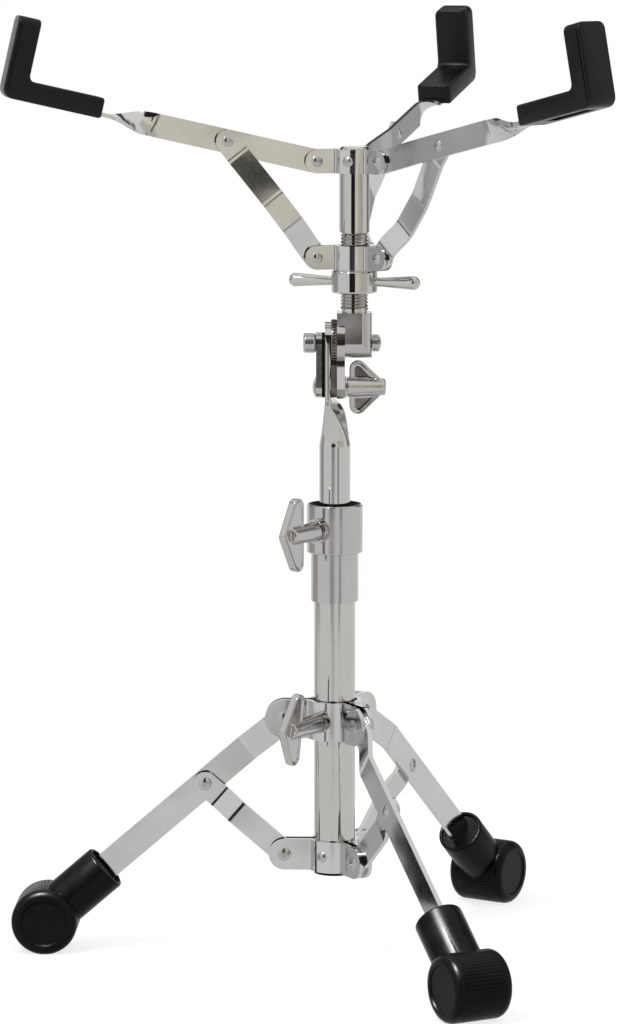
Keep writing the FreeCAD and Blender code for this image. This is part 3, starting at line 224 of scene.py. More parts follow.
class StageSettings(bpy.types.PropertyGroup):
    """Camera, light and floor."""
    lens: FloatProperty(name="Lens", description="Focal length of the camera", default=103.4,
                        unit="CAMERA")
    sensor: FloatProperty(name="Sensor", description="Height of the camera's sensor",
                          default=24.0, unit="CAMERA")
    eye: FloatVectorProperty(name="Eye", description="Place of the camera",
                             default=(-0.0149, -2.684, 0.6559), size=3, subtype="TRANSLATION")
    pitch: FloatProperty(name="Pitch", description="Downward tilt of the camera", default=0.140,
                         unit="ROTATION")
    clip: length("Far clip", 100.0, "Farthest distance that the camera sees")
    floor: length("Floor", 60.0, "Width of the pale floor")
    paper: share("Paper", 0.34, "Grey of the floor to the camera")
    glow: share("Glow", 0.76, "Light added to the floor for the camera")
    bounce: share("Bounce", 0.80, "Grey of the floor to the stand")
    dome: share("Dome", 0.72, "Even light from all round")
    studio: share("Studio", 0.88, "Brightness that the metal reflects")
    lift: share("Lift", 0.12, "Share by which the studio brightens upwards")
    warm: colour("Warm patch", (1.0, 0.955, 0.84), "Tint of the studio's warm patch")


def only(obj):
    """Makes an object the one selected and active object."""
    bpy.ops.object.select_all(action="DESELECT")
    obj.select_set(True)
    bpy.context.view_layer.objects.active = obj


def add_shape(kind, **sizes):
    """Adds a primitive on its own."""
    bpy.ops.object.select_all(action="DESELECT")
    getattr(bpy.ops.mesh, "primitive_%s_add" % kind)(**sizes)
    return bpy.context.object


def add_block(low, high):
    """Adds a box between two corners."""
    low, high = Vector(low), Vector(high)
    block = add_shape("cube", size=1.0, location=(low + high) / 2)
    block.scale = high - low
    settle(block)
    return block


def add_round(radius, start, end, sides, end_radius=None):
    """Adds a cylinder or cone between two points."""
    start, end = Vector(start), Vector(end)
    axis = end - start
    turn = axis.to_track_quat("Z", "Y").to_euler()
    tip = radius if end_radius is None else end_radius
    shape = add_shape("cone", vertices=sides, radius1=radius, radius2=tip, depth=axis.length,
                      location=(start + end) / 2, rotation=turn)
    settle(shape)
    return shape


def settle(obj):
    """Moves an object's place, turn and scale into its mesh."""
    only(obj)
    bpy.ops.object.transform_apply(location=True, rotation=True, scale=True)


def place(obj, matrix):
    """Sets a piece that was modelled at the origin."""
    obj.matrix_world = matrix @ obj.matrix_world
    settle(obj)


@contextlib.contextmanager
def shaping(obj):
    """Edit mode on one object."""
    only(obj)
    bpy.ops.object.mode_set(mode="EDIT")
    yield
    bpy.ops.object.mode_set(mode="OBJECT")


def pick(kind, test):
    """Selects the edited mesh's vertices, edges or faces that pass a test."""
    bpy.ops.mesh.select_mode(type=kind)
    bpy.ops.mesh.select_all(action="DESELECT")
    data = bpy.context.edit_object.data
    mesh = bmesh.from_edit_mesh(data)
    mesh.normal_update()
    group = {"VERT": mesh.verts, "EDGE": mesh.edges, "FACE": mesh.faces}[kind]
    for element in group:
        if test(element):
            element.select_set(True)
    mesh.select_flush_mode()
    bmesh.update_edit_mesh(data)


def middle(edge):
    """Middle of an edge."""
    return (edge.verts[0].co + edge.verts[1].co) / 2


def runs_along(edge, axis):
    """True if an edge lies along an axis."""
    return abs((edge.verts[1].co - edge.verts[0].co).normalized().dot(axis)) > ALONG


def every_second(count, axis):
    """Test for every second side face of a round of 2 x count sides along X (0) or Y (1)."""
    step = math.pi / count

    def test(face):
        spot = face.calc_center_median()
        turn = int((math.atan2(spot.z, spot[1 - axis]) % math.tau) / step)
        return abs(face.normal[axis]) < ACROSS and turn % 2 == 0
    return test


def round_edges(test, radius, segments=5):
    """Rounds the edges that pass a test."""
    pick("EDGE", test)
    bpy.ops.mesh.bevel(offset=radius, offset_type="OFFSET", segments=segments, profile=0.5,
                       affect="EDGES")


def apply_with(obj, kind, **settings):
    """Adds a modifier with its settings and applies it."""
    modifier = obj.modifiers.new(kind.lower(), kind)
    for name, value in settings.items():
        setattr(modifier, name, value)
    only(obj)
    bpy.ops.object.modifier_apply(modifier=modifier.name)


def combine(obj, other, operation):
    """Joins another solid to a piece, or cuts it out, and removes that solid."""
    apply_with(obj, "BOOLEAN", operation=operation, object=other, solver="EXACT")
    bpy.data.objects.remove(other)


def join(objects):
    """Makes one object of several."""
    bpy.ops.object.select_all(action="DESELECT")
    for obj in objects:
        obj.select_set(True)
    bpy.context.view_layer.objects.active = objects[0]
    bpy.ops.object.join()
    return bpy.context.object


def clean(obj):
    """Merges doubles and turns every face outwards."""
    with shaping(obj):
        bpy.ops.mesh.select_all(action="SELECT")
        bpy.ops.mesh.remove_doubles(threshold=MERGE)
        bpy.ops.mesh.normals_make_consistent(inside=False)


def smooth(obj):
    """Smooth shading with crisp corners."""
    only(obj)
    bpy.ops.object.shade_smooth_by_angle(angle=SHARP)


def twin(obj):
    """Copy of a piece with its own mesh."""
    copy = obj.copy()
    copy.data = obj.data.copy()
    bpy.context.scene.collection.objects.link(copy)
    return copy


def hinge_place(name, rise):
    """Matrix for a piece drawn along X from a hinge, raised by rise radians."""
    joint = JOINTS[name]
    axis = joint["axis"]
    turn = Matrix.Rotation(math.atan2(axis[0], -axis[1]), 4, "Z")
    return Matrix.Translation(joint["pos_m"]) @ turn @ Matrix.Rotation(-rise, 4, "Y")


def hand_over(obj, name, body, node):
    """Names a finished piece, hangs it on its body and lets it stand for its CAD node."""
    obj.name = name
    obj.data.name = name
    smooth(obj)
    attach(obj, body)
    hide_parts(node)


class Wire:
    """A socket's value, whose arithmetic adds Math nodes."""

    def __init__(self, shade, socket):
        self.shade = shade
        self.socket = socket

    def math(self, operation, first, second=0.0):
        """Math node on one or two values."""
        return self.shade.node("ShaderNodeMath", {"operation": operation}, {0: first, 1: second})

    def __add__(self, other):
        return self.math("ADD", self, other)

    def __sub__(self, other):
        return self.math("SUBTRACT", self, other)

    def __rsub__(self, other):
        return self.math("SUBTRACT", other, self)

    def __mul__(self, other):
        return self.math("MULTIPLY", self, other)

    def __abs__(self):
        return self.math("ABSOLUTE", self)

    __radd__ = __add__
    __rmul__ = __mul__


class Shade:
    """Node tree of a material or of the world."""

    def __init__(self, tree):
        self.tree = tree
        tree.nodes.clear()

    def node(self, kind, settings=None, values=None, output=0):
        """Adds a node, sets its settings and then its sockets, and returns one of its outputs."""
        made = self.tree.nodes.new(kind)
        for name, value in (settings or {}).items():
            if name == "stops":
                for element, (position, shade) in zip(made.color_ramp.elements, value):
                    element.position = position
                    element.color = (shade, shade, shade, 1)
            else:
                setattr(made, name, value)
        for key, value in (values or {}).items():
            if isinstance(value, Wire):
                self.tree.links.new(value.socket, made.inputs[key])
            else:
                made.inputs[key].default_value = value
        return Wire(self, made.outputs[output]) if made.outputs else None

    def where(self):
        """The object's own coordinates."""
        return self.node("ShaderNodeTexCoord", output="Object")

    def ray(self, kind):
        """1 for one kind of ray."""
        return self.node("ShaderNodeLightPath", output=kind)

    def noise(self, where, scale, detail, roughness):
        """Noise value on a coordinate."""
        values = {"Vector": where, "Scale": scale, "Detail": detail, "Roughness": roughness}
        return self.node("ShaderNodeTexNoise", None, values)

    def ramp(self, value, low, high):
        """Value spread from 0 at low to 1 at high."""
        stops = ((low, 0.0), (high, 1.0))
        return self.node("ShaderNodeValToRGB", {"stops": stops}, {"Fac": value})

    def blend(self, amount, first, second):
        """Colour between two colours, which is a Mix node's third output."""
        values = {"Factor": amount, "A": (*first, 1), "B": (*second, 1)}
        return self.node("ShaderNodeMix", {"data_type": "RGBA"}, values, output=2)

    def bump(self, height):
        """Normal from a height in metres."""
        values = {"Height": height, "Strength": 1.0, "Distance": 1.0}
        return self.node("ShaderNodeBump", None, values)

    def surface(self, values):
        """Principled surface as the tree's output."""
        shader = self.node("ShaderNodeBsdfPrincipled", None, values)
        self.node("ShaderNodeOutputMaterial", None, {"Surface": shader})


def new_material(name):
    """Material and its empty node tree."""
    material = bpy.data.materials.new(name)
    material.use_nodes = True
    return material, Shade(material.node_tree)


def plated(name, bright, dull, rough, film, peel, sway):
    """Plated metal with a handled film, fine hairlines, faint orange peel and a slow sway."""
    material, shade = new_material(name)
    where = shade.where()
    smears = shade.noise(where, scale=46.0, detail=5.0, roughness=0.62)
    handled = shade.ramp(smears, low=0.42, high=0.78)
    dots = shade.noise(where, scale=620.0, detail=2.0, roughness=0.5)
    specks = shade.ramp(dots, low=0.66, high=0.78)
    hair = shade.noise(where, scale=1900.0, detail=2.0, roughness=0.6)
    slow = shade.noise(where, scale=17.0, detail=1.0, roughness=0.4) * sway
    fine = (shade.noise(where, scale=320.0, detail=2.0, roughness=0.4) + hair * 0.25) * peel
    shade.surface({
        "Base Color": shade.blend(handled * 0.45 + specks * 0.2, bright, dull),
        "Metallic": 1.0,
        "Roughness": rough + handled * film + hair * (film * 0.5),
        "Normal": shade.bump(slow + fine),
    })
    return material


def moulded(name, body, dust, rough, grain, grain_depth, gloss):
    """Moulded rubber or nylon with a fine grain, mottling and a trace of dust."""
    material, shade = new_material(name)
    where = shade.where()
    clouds = shade.noise(where, scale=95.0, detail=4.0, roughness=0.6)
    mottle = shade.ramp(clouds, low=0.35, high=0.8)
    dots = shade.noise(where, scale=1400.0, detail=1.0, roughness=0.5)
    lint = shade.ramp(dots, low=0.68, high=0.80)
    pores = shade.noise(where, scale=grain, detail=3.0, roughness=0.55)
    shade.surface({
        "Base Color": shade.blend(mottle * 0.55 + lint * 0.25, body, dust),
        "Roughness": rough + mottle * 0.12 - pores * 0.08,
        "Specular IOR Level": gloss,
        "Normal": shade.bump(pores * grain_depth),
    })
    return material


# Metals: colour, roughness, roughness of the film, height of peel and of sway in metres.
METALS = {
    "tube_chrome": ("chrome", 0.045, 0.04, 0.0000024, 0.0002),
    "strap_chrome": ("strap", 0.075, 0.05, 0.0000030, 0.0016),
    "cast_chrome": ("cast", 0.08, 0.06, 0.000006, 0.0012),
    "fastener_plating": ("fastener", 0.15, 0.12, 0.000007, 0.0005),
    "ratchet_steel": ("steel", 0.22, 0.15, 0.000009, 0.0005),
}
# Mouldings: colour, roughness, scale of the grain, its height in metres, gloss.
MOULDINGS = {
    "claw_rubber": ("claw", 0.32, 2600.0, 0.000018, 0.22),
    "foot_rubber": ("foot", 0.28, 2100.0, 0.000016, 0.11),
    "bush_nylon": ("nylon", 0.40, 3200.0, 0.000018, 0.03),
}


def make_finishes(colours):
    """All finishes by name."""
    finishes = {}
    for recipe, table, worn in ((plated, METALS, "_dull"), (moulded, MOULDINGS, "_dust")):
        for name, (family, *values) in table.items():
            tones = getattr(colours, family), getattr(colours, family + worn)
            finishes[name] = recipe(name, *tones, *values)
    return finishes


FINISHED_NODES = {
    "tube_chrome": ("base_tube", "mast_tube", "adjuster_", "upper_hub_ring", "lower_hub_ring"),
    "strap_chrome": ("leg_left", "leg_front", "leg_back", "brace_", "arm_left", "arm_right",
                     "arm_back", "strut_", "leg_collar_plates", "lower_collar_plates",
                     "upper_hub_plates", "lower_hub_plates"),
    "cast_chrome": ("height_clamp_body", "leg_collar_nut", "tilter_bracket", "tilter_strap"),
    "bush_nylon": ("base_plug", "mast_guide", "height_clamp_bush", "leg_collar_liner",
                   "tilter_spacer"),
}


def finish_of(node):
    """Finish of a CAD node that stays on show; rivets, screws, bolts and washers are the rest."""
    for finish, starts in FINISHED_NODES.items():
        if node.startswith(starts):
            return finish
    return "fastener_plating"


def model_claw(sizes):
    """One claw along X from the hub pivot."""
    low = -sizes.low
    seat = low + sizes.thick
    top = low + sizes.height
    back = sizes.reach + sizes.wall
    half = sizes.width / 2
    claw = add_block((back - sizes.base, -half, low), (back, half, seat))
    with shaping(claw):
        bpy.ops.mesh.select_all(action="SELECT")
        bpy.ops.mesh.bisect(plane_co=(sizes.reach, 0, 0), plane_no=X_AXIS)
        pick("FACE", lambda f: f.normal.z > ALONG and f.calc_center_median().x > sizes.reach)
        bpy.ops.mesh.extrude_region_move(TRANSFORM_OT_translate={"value": (0, 0, top - seat)})
        bpy.ops.mesh.select_all(action="SELECT")
        bpy.ops.mesh.dissolve_limited(angle_limit=FLAT)
        round_edges(lambda e: runs_along(e, X_AXIS) and middle(e).z > top - TOUCH, sizes.crown)
        round_edges(lambda e: runs_along(e, Y_AXIS) and middle(e).x > back - TOUCH
                    and middle(e).z < low + TOUCH, sizes.heel)
        round_edges(lambda e: runs_along(e, Y_AXIS) and abs(middle(e).x - sizes.reach) < TOUCH
                    and abs(middle(e).z - seat) < TOUCH, sizes.inner)
    apply_with(claw, "BEVEL", width=sizes.edge, segments=3, limit_method="ANGLE",
               angle_limit=SHARP)
    cut_moulded_line(claw, sizes)
    return claw


def cut_moulded_line(claw, sizes):
    """Presses a narrow line into both sides of the claw's wall."""
    outer = sizes.reach + sizes.wall - sizes.groove_place
    inner = outer - sizes.groove
    low = (sizes.thick - sizes.low) / 2
    with shaping(claw):
        for x in (outer, inner):
            bpy.ops.mesh.select_all(action="SELECT")
            bpy.ops.mesh.bisect(plane_co=(x, 0, 0), plane_no=X_AXIS)
        pick("FACE", lambda f: abs(f.normal.y) > ALONG and f.calc_center_median().z > low
             and inner < f.calc_center_median().x < outer)
        bpy.ops.mesh.inset(thickness=0.0, depth=-sizes.groove_depth, use_individual=False)


def cut_tang_pocket(claw, sizes):
    """Cuts the pockets of the arm's flat tang and upright tab, and the window below them."""
    back = sizes.reach + sizes.wall
    start = back - sizes.base
    tab = sizes.reach + sizes.wall / 2
    tab_near, tab_far = tab - sizes.tab_half, tab + sizes.tab_half
    half, window = sizes.tang_half, sizes.window_half
    blocks = [
        ((start - MARGIN, -half, -sizes.tang_low), (tab_far, half, sizes.tang_high)),
        ((tab_near, -half, 0), (tab_far, half, sizes.tab_top)),
        ((start + sizes.window_inner, -window, -sizes.low - MARGIN),
         (back - sizes.window_outer, window, MARGIN - sizes.tang_low)),
    ]
    for low, high in blocks:
        combine(claw, add_block(low, high), "DIFFERENCE")


def model_foot(sizes):
    """One foot with its barrel across the leg's axis and its sleeve up the leg."""
    half = sizes.barrel / 2
    barrel = add_round(sizes.radius, (0, -half, 0), (0, half, 0), sides=2 * sizes.ribs)
    with shaping(barrel):
        round_edges(lambda e: abs(middle(e).y) > half - TOUCH, sizes.edge, segments=6)
        pick("FACE", lambda f: abs(f.normal.y) > ALONG)
        bpy.ops.mesh.inset(thickness=sizes.face_rim, depth=0.0)
        bpy.ops.mesh.inset(thickness=sizes.face_slope, depth=-sizes.face_depth)
        pick("FACE", every_second(sizes.ribs, 1))
        bpy.ops.mesh.inset(thickness=sizes.rib_slope, depth=-sizes.rib_depth, use_individual=True)
    combine(barrel, model_sleeve(sizes), "UNION")
    return barrel


def model_sleeve(sizes):
    """Sleeve of a foot with its hollow mouth."""
    sleeve = add_round(sizes.sleeve_radius, (0, 0, 0), (-sizes.sleeve, 0, 0), sides=72)
    end = TOUCH - sizes.sleeve
    near = 4 * TOUCH
    inner = sizes.sleeve_radius - sizes.rim
    with shaping(sleeve):
        pick("FACE", lambda f: f.normal.x < -ALONG)
        bpy.ops.mesh.inset(thickness=sizes.rim, depth=0.0)
        bpy.ops.mesh.extrude_region_move(TRANSFORM_OT_translate={"value": (sizes.mouth, 0, 0)})
        round_edges(lambda e: middle(e).x < end
                    and middle(e).yz.length > sizes.sleeve_radius - near, sizes.lip, segments=4)
        round_edges(lambda e: middle(e).x < end and abs(middle(e).yz.length - inner) < near
                    and not runs_along(e, X_AXIS), sizes.lip_inner, segments=2)
    clean(sleeve)
    return sleeve


def stand_flat(foot):
    """Cuts the foot flat where it stands."""
    with shaping(foot):
        bpy.ops.mesh.select_all(action="SELECT")
        bpy.ops.mesh.bisect(plane_co=(0, 0, 0), plane_no=Z_AXIS, use_fill=True, clear_inner=True)


# Hub: outer radius and end rounding as shares of its radius, its end as a share of the wing.
HUB_TAPER, HUB_EDGE, HUB_SHARE = 0.82, 0.25, 0.6
# Rim: slope and rounding as shares of its width.
RIM_SLOPE, RIM_EDGE = 0.6, 0.7
# Wing screws: joint, wing's inner edge and hub's seat from the mast's axis, roll in degrees.
WING_SCREWS = {
    "height_clamp_screw": ("height_clamp_turn", 0.035, 0.02075, 0.0),
    "leg_clamp_screw": ("leg_clamp_turn", 0.041, 0.02185, -6.0),
}
SCREW_TIP = 0.013
NUT_SETBACK = 0.0002


def model_wing_screw(sizes, inner, seat):
    """Wing screw along X from the mast's axis."""
    parts = wing_parts(sizes, inner, inner + sizes.length, sizes.span, seat, sizes.hub,
                       inner + sizes.length * HUB_SHARE)
    parts.append(add_round(sizes.screw, (SCREW_TIP, 0, 0), (seat + MARGIN, 0, 0), sides=32))
    return cast(parts, sizes)


def model_wing_nut(sizes):
    """The tilter's wing nut along X from its seat."""
    end = sizes.tilter_length
    nut = cast(wing_parts(sizes, sizes.tilter_inner, end, sizes.tilter_span, 0.0,
                          sizes.tilter_hub, end - NUT_SETBACK), sizes)
    drill = add_round(sizes.bore, (-MARGIN, 0, 0), (end + MARGIN, 0, 0), sides=40)
    combine(nut, drill, "DIFFERENCE")
    clean(nut)
    return nut


def wing_parts(sizes, inner, outer, span, seat, hub, hub_end):
    """Wing plate and the hub that carries it, along X."""
    plate = wing_plate(sizes, inner, outer, span)
    barrel = add_round(hub, (seat, 0, 0), (hub_end, 0, 0), sides=48, end_radius=hub * HUB_TAPER)
    with shaping(barrel):
        round_edges(lambda e: middle(e).x > hub_end - TOUCH, hub * HUB_EDGE, segments=4)
    return [plate, barrel]


def wing_plate(sizes, inner, outer, span):
    """Plate through two round tips and a blunt outer point, with both faces sunk below a rim."""
    half = sizes.thick / 2
    tip_x = inner + sizes.tip
    tip_z = span / 2 - sizes.tip
    rounds = [(tip_x, tip_z, sizes.tip), (tip_x, -tip_z, sizes.tip),
              (outer - sizes.point, 0, sizes.point)]
    plate = join([add_round(r, (x, -half, z), (x, half, z), sides=40) for x, z, r in rounds])
    with shaping(plate):
        bpy.ops.mesh.select_all(action="SELECT")
        bpy.ops.mesh.convex_hull(use_existing_faces=False)
        bpy.ops.mesh.select_all(action="SELECT")
        bpy.ops.mesh.dissolve_limited(angle_limit=FLAT)
        pick("FACE", lambda f: abs(f.normal.y) > ALONG)
        bpy.ops.mesh.inset(thickness=sizes.rim, depth=0.0)
        bpy.ops.mesh.inset(thickness=sizes.rim * RIM_SLOPE, depth=-sizes.recess)
    apply_with(plate, "BEVEL", width=sizes.rim * RIM_EDGE, segments=3, limit_method="ANGLE",
               angle_limit=SHARP)
    return plate


def cast(parts, sizes):
    """Melts several shapes into one casting."""
    casting = join(parts)
    apply_with(casting, "REMESH", mode="VOXEL", voxel_size=sizes.grain)
    apply_with(casting, "SMOOTH", factor=0.5, iterations=4)
    return casting


def model_post(sizes):
    """Threaded post from its seat upwards."""
    root = sizes.thread_radius - sizes.thread_depth
    post = add_round(root, (0, 0, 0), (0, 0, sizes.thread), sides=96)
    with shaping(post):
        pick("FACE", lambda f: f.normal.z > ALONG)
        bpy.ops.mesh.extrude_region_move(TRANSFORM_OT_translate={"value": (0, 0, 0)})
        wide = sizes.radius / root
        bpy.ops.transform.resize(value=(wide, wide, 1), center_override=(0, 0, sizes.thread))
        rise = sizes.shank - sizes.chamfer
        bpy.ops.mesh.extrude_region_move(TRANSFORM_OT_translate={"value": (0, 0, rise)})
        bpy.ops.mesh.extrude_region_move(
            TRANSFORM_OT_translate={"value": (0, 0, sizes.chamfer)})
        narrow = 1 - sizes.chamfer / sizes.radius
        bpy.ops.transform.resize(value=(narrow, narrow, 1),
                                 center_override=(0, 0, sizes.thread + sizes.shank))
    return join([post, model_thread(sizes, root)])


# Thread: half width of its root as a share of the pitch, faces per turn.
TOOTH_SHARE = 0.46
TURN_STEPS = 48


def model_thread(sizes, root):
    """Helical tooth round the post's core."""
    turns = int(sizes.thread / sizes.pitch) - 1
    tooth = add_shape("circle", vertices=4, radius=1.0, fill_type="NOTHING")
    tooth.scale = (sizes.thread_depth, sizes.pitch * TOOTH_SHARE, 1)
    tooth.rotation_euler = (math.pi / 2, 0, 0)
    tooth.location = (root, 0, sizes.pitch)
    settle(tooth)
    apply_with(tooth, "SCREW", axis="Z", screw_offset=sizes.pitch, iterations=turns,
               steps=TURN_STEPS, render_steps=TURN_STEPS, use_merge_vertices=False)
    with shaping(tooth):
        bpy.ops.mesh.select_mode(type="EDGE")
        bpy.ops.mesh.select_all(action="SELECT")
        bpy.ops.mesh.fill_holes(sides=4)
    clean(tooth)
    return tooth


def model_ratchet(sizes):
    """Toothed plate in its CAD node's place: a disc at the pivot and a tail to the lock bolt."""
    low, high = (Vector(corner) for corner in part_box("tilter_ratchet_disc"))
    pivot = JOINTS["tilt"]["pos_m"]
    drop = low.z + sizes.tail - pivot[2]
    disc = add_round(high.z - pivot[2], (low.x, 0, 0), (high.x, 0, 0), sides=2 * sizes.teeth)
    with shaping(disc):
        round_edges(lambda e: min(middle(e).x - low.x, high.x - middle(e).x) < TOUCH, sizes.rim,
                    segments=2)
        pick("FACE", every_second(sizes.teeth, 0))
        bpy.ops.mesh.inset(thickness=sizes.flank, depth=-sizes.depth, use_individual=True)
    near, far = low.x + TOUCH, high.x - TOUCH
    combine(disc, add_block((near, -sizes.tail, drop), (far, sizes.tail, 0)), "UNION")
    combine(disc, add_round(sizes.tail, (near, 0, drop), (far, 0, drop), sides=48), "UNION")
    for height in (0, drop):
        drill = add_round(sizes.bore, (low.x - MARGIN, 0, height), (high.x + MARGIN, 0, height),
                          sides=40)
        combine(disc, drill, "DIFFERENCE")
    clean(disc)
    place(disc, Matrix.Translation((0, pivot[1], pivot[2])))
    return disc


class STAND_OT_finishes(bpy.types.Operator):
    """Make the finishes and paint the CAD pieces that stay on show"""
    bl_idname = "stand.finishes"
    bl_label = "Paint metal and nylon"

    def execute(self, context):
        finishes = make_finishes(context.scene.stand_finish)
        for name, node in frame["nodes"].items():
            node.data.materials.clear()
            node.data.materials.append(finishes[finish_of(name)])
        return {"FINISHED"}


class STAND_OT_claws(bpy.types.Operator):
    """Model the rubber claws and set one on each arm"""
    bl_idname = "stand.claws"
    bl_label = "Model claws"

    def execute(self, context):
        sizes = context.scene.stand_claw
        claw = model_claw(sizes)
        cut_tang_pocket(claw, sizes)
        clean(claw)
        claw.data.materials.append(bpy.data.materials["claw_rubber"])
        side = Matrix.Translation((0, -sizes.offset, 0))
        for name, hinge in ARM_HINGES.items():
            piece = twin(claw)
            place(piece, hinge_place(hinge, sizes.rise) @ side)
            hand_over(piece, "rubber_claw_" + name, "arm_" + name, "claw_" + name)
        bpy.data.objects.remove(claw)
        return {"FINISHED"}


class STAND_OT_feet(bpy.types.Operator):
    """Model the rubber feet and set one on each leg"""
    bl_idname = "stand.feet"
    bl_label = "Model feet"

    def execute(self, context):
        sizes = context.scene.stand_foot
        foot = model_foot(sizes)
        clean(foot)
        foot.data.materials.append(bpy.data.materials["foot_rubber"])
        reach = Matrix.Translation((sizes.along, 0, 0))
        for name, hinge in LEG_HINGES.items():
            piece = twin(foot)
            place(piece, hinge_place(hinge, -sizes.slope) @ reach)
            stand_flat(piece)
            hand_over(piece, "rubber_foot_" + name, "leg_" + name, "foot_" + name)
        bpy.data.objects.remove(foot)
        return {"FINISHED"}


class STAND_OT_wings(bpy.types.Operator):
    """Model the two wing screws and the tilter's wing nut"""
    bl_idname = "stand.wings"
    bl_label = "Model wings"

    def execute(self, context):
        sizes = context.scene.stand_wing
        for node, (joint, inner, seat, roll) in WING_SCREWS.items():
            screw = model_wing_screw(sizes, inner, seat)
            place(screw, screw_place(joint, roll))
            self.hand(screw, node)
        low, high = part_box("tilter_wing_nut")
        nut = model_wing_nut(sizes)
        place(nut, Matrix.Translation((low[0], 0, (low[2] + high[2]) / 2)))
        self.hand(nut, "tilter_wing_nut")
        return {"FINISHED"}

    def hand(self, wing, node):
        """Plates a wing and hands it over."""
        wing.data.materials.append(bpy.data.materials["cast_chrome"])
        hand_over(wing, "cast_" + node, node, node)


def screw_place(joint, roll):
    """Matrix for a wing screw drawn along X from the mast's axis, rolled by degrees."""
    data = JOINTS[joint]
    axis = Vector(data["axis"])
    spot = Vector(data["pos_m"])
    if axis.xy.dot(spot.xy) < 0:
        axis = -axis
    aim = Matrix.Rotation(math.atan2(axis.y, axis.x), 4, "Z")
    turn = Matrix.Rotation(math.radians(roll), 4, "X")
    return Matrix.Translation((0, 0, spot.z)) @ aim @ turn


class STAND_OT_post(bpy.types.Operator):
    """Model the basket post with its helical thread"""
    bl_idname = "stand.post"
    bl_label = "Model threaded post"

    def execute(self, context):
        post = model_post(context.scene.stand_post)
        low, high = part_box("basket_post")
        place(post, Matrix.Translation(((low[0] + high[0]) / 2, (low[1] + high[1]) / 2, low[2])))
        post.data.materials.append(bpy.data.materials["tube_chrome"])
        hand_over(post, "threaded_post", "basket_head", "basket_post")
        return {"FINISHED"}


class STAND_OT_ratchet(bpy.types.Operator):
    """Model the tilter's toothed plate"""
    bl_idname = "stand.ratchet"
    bl_label = "Model ratchet plate"

    def execute(self, context):
        disc = model_ratchet(context.scene.stand_ratchet)
        disc.data.materials.append(bpy.data.materials["ratchet_steel"])
        hand_over(disc, "toothed_plate", "mast", "tilter_ratchet_disc")
        return {"FINISHED"}


def grey(value):
    """Colour of one brightness."""
    return (value, value, value, 1)


def lay_floor(settings):
    """Pale floor that is white to the camera and keeps the stand's shadow."""
    floor = add_shape("plane", size=settings.floor)
    floor.name = "pale_floor"
    floor.visible_glossy = False
    material, shade = new_material("pale_floor")
    paper = shade.node("ShaderNodeBsdfDiffuse", None, {"Color": grey(settings.paper)})
    glow = shade.node("ShaderNodeEmission", None, {"Color": WHITE, "Strength": settings.glow})
    bright = shade.node("ShaderNodeAddShader", None, {0: paper, 1: glow})
    plain = shade.node("ShaderNodeBsdfDiffuse", None, {"Color": grey(settings.bounce)})
    mixed = shade.node("ShaderNodeMixShader", None,
                       {0: shade.ray("Is Camera Ray"), 1: plain, 2: bright})
    shade.node("ShaderNodeOutputMaterial", None, {"Surface": mixed})
    floor.data.materials.append(material)


# Dark patches: compass direction and half width in degrees, hard share of that width, lower and
# upper height, fade at those heights, depth. The left strut's upper bend mirrors the last one.
DARK_PATCHES = (
    (-10.5, 16.0, 0.82, -0.135, 0.80, 0.03, 0.985),
    (-14.0, 15.0, 0.20, -0.180, -0.105, 0.03, 0.50),
    (-8.0, 12.0, 0.20, -0.210, -0.150, 0.03, 0.22),
    (25.5, 10.0, 0.20, -0.178, -0.085, 0.03, 0.62),
    (50.0, 28.0, 0.40, -0.120, 0.80, 0.03, 0.28),
    (118.0, 16.0, 0.50, -0.120, 0.80, 0.03, 0.72),
    (-110.0, 26.0, 0.45, -0.180, 0.80, 0.03, 0.50),
    (145.0, 16.0, 0.50, -0.120, 0.80, 0.03, 0.50),
    (-128.0, 14.0, 0.50, -0.600, -0.150, 0.03, 0.40),
    (18.0, 28.0, 0.80, 0.035, 0.125, 0.03, 0.92),
    (-98.0, 40.0, 0.80, 0.035, 0.125, 0.03, 0.92),
    (180.0, 60.0, 0.60, 0.290, 0.630, 0.03, 0.90),
    (9.5, 9.0, 0.60, 0.2405, 0.330, 0.004, 0.97),
)
WARM_PATCH = (24.0, 30.0, 0.50, -0.130, 0.80, 0.03)


def studio_patch(shade, azimuth, rise, centre, half, hard, low, high, fade):
    """1 inside a patch of the studio round a compass direction, between two heights."""
    edge = math.radians(half)
    span = (high - low) / 2
    turn = azimuth.math("PINGPONG", azimuth - math.radians(centre), math.pi)
    across = (turn, edge * hard, edge)
    upward = (abs(rise - (low + high) / 2), span - fade, span)
    return falling(shade, *across) * falling(shade, *upward)


def falling(shade, value, start, end):
    """1 up to the start, then smoothly down to 0 at the end."""
    values = {"Value": value, "From Min": start, "From Max": end, "To Min": 1.0, "To Max": 0.0}
    return shade.node("ShaderNodeMapRange", {"interpolation_type": "SMOOTHSTEP"}, values)


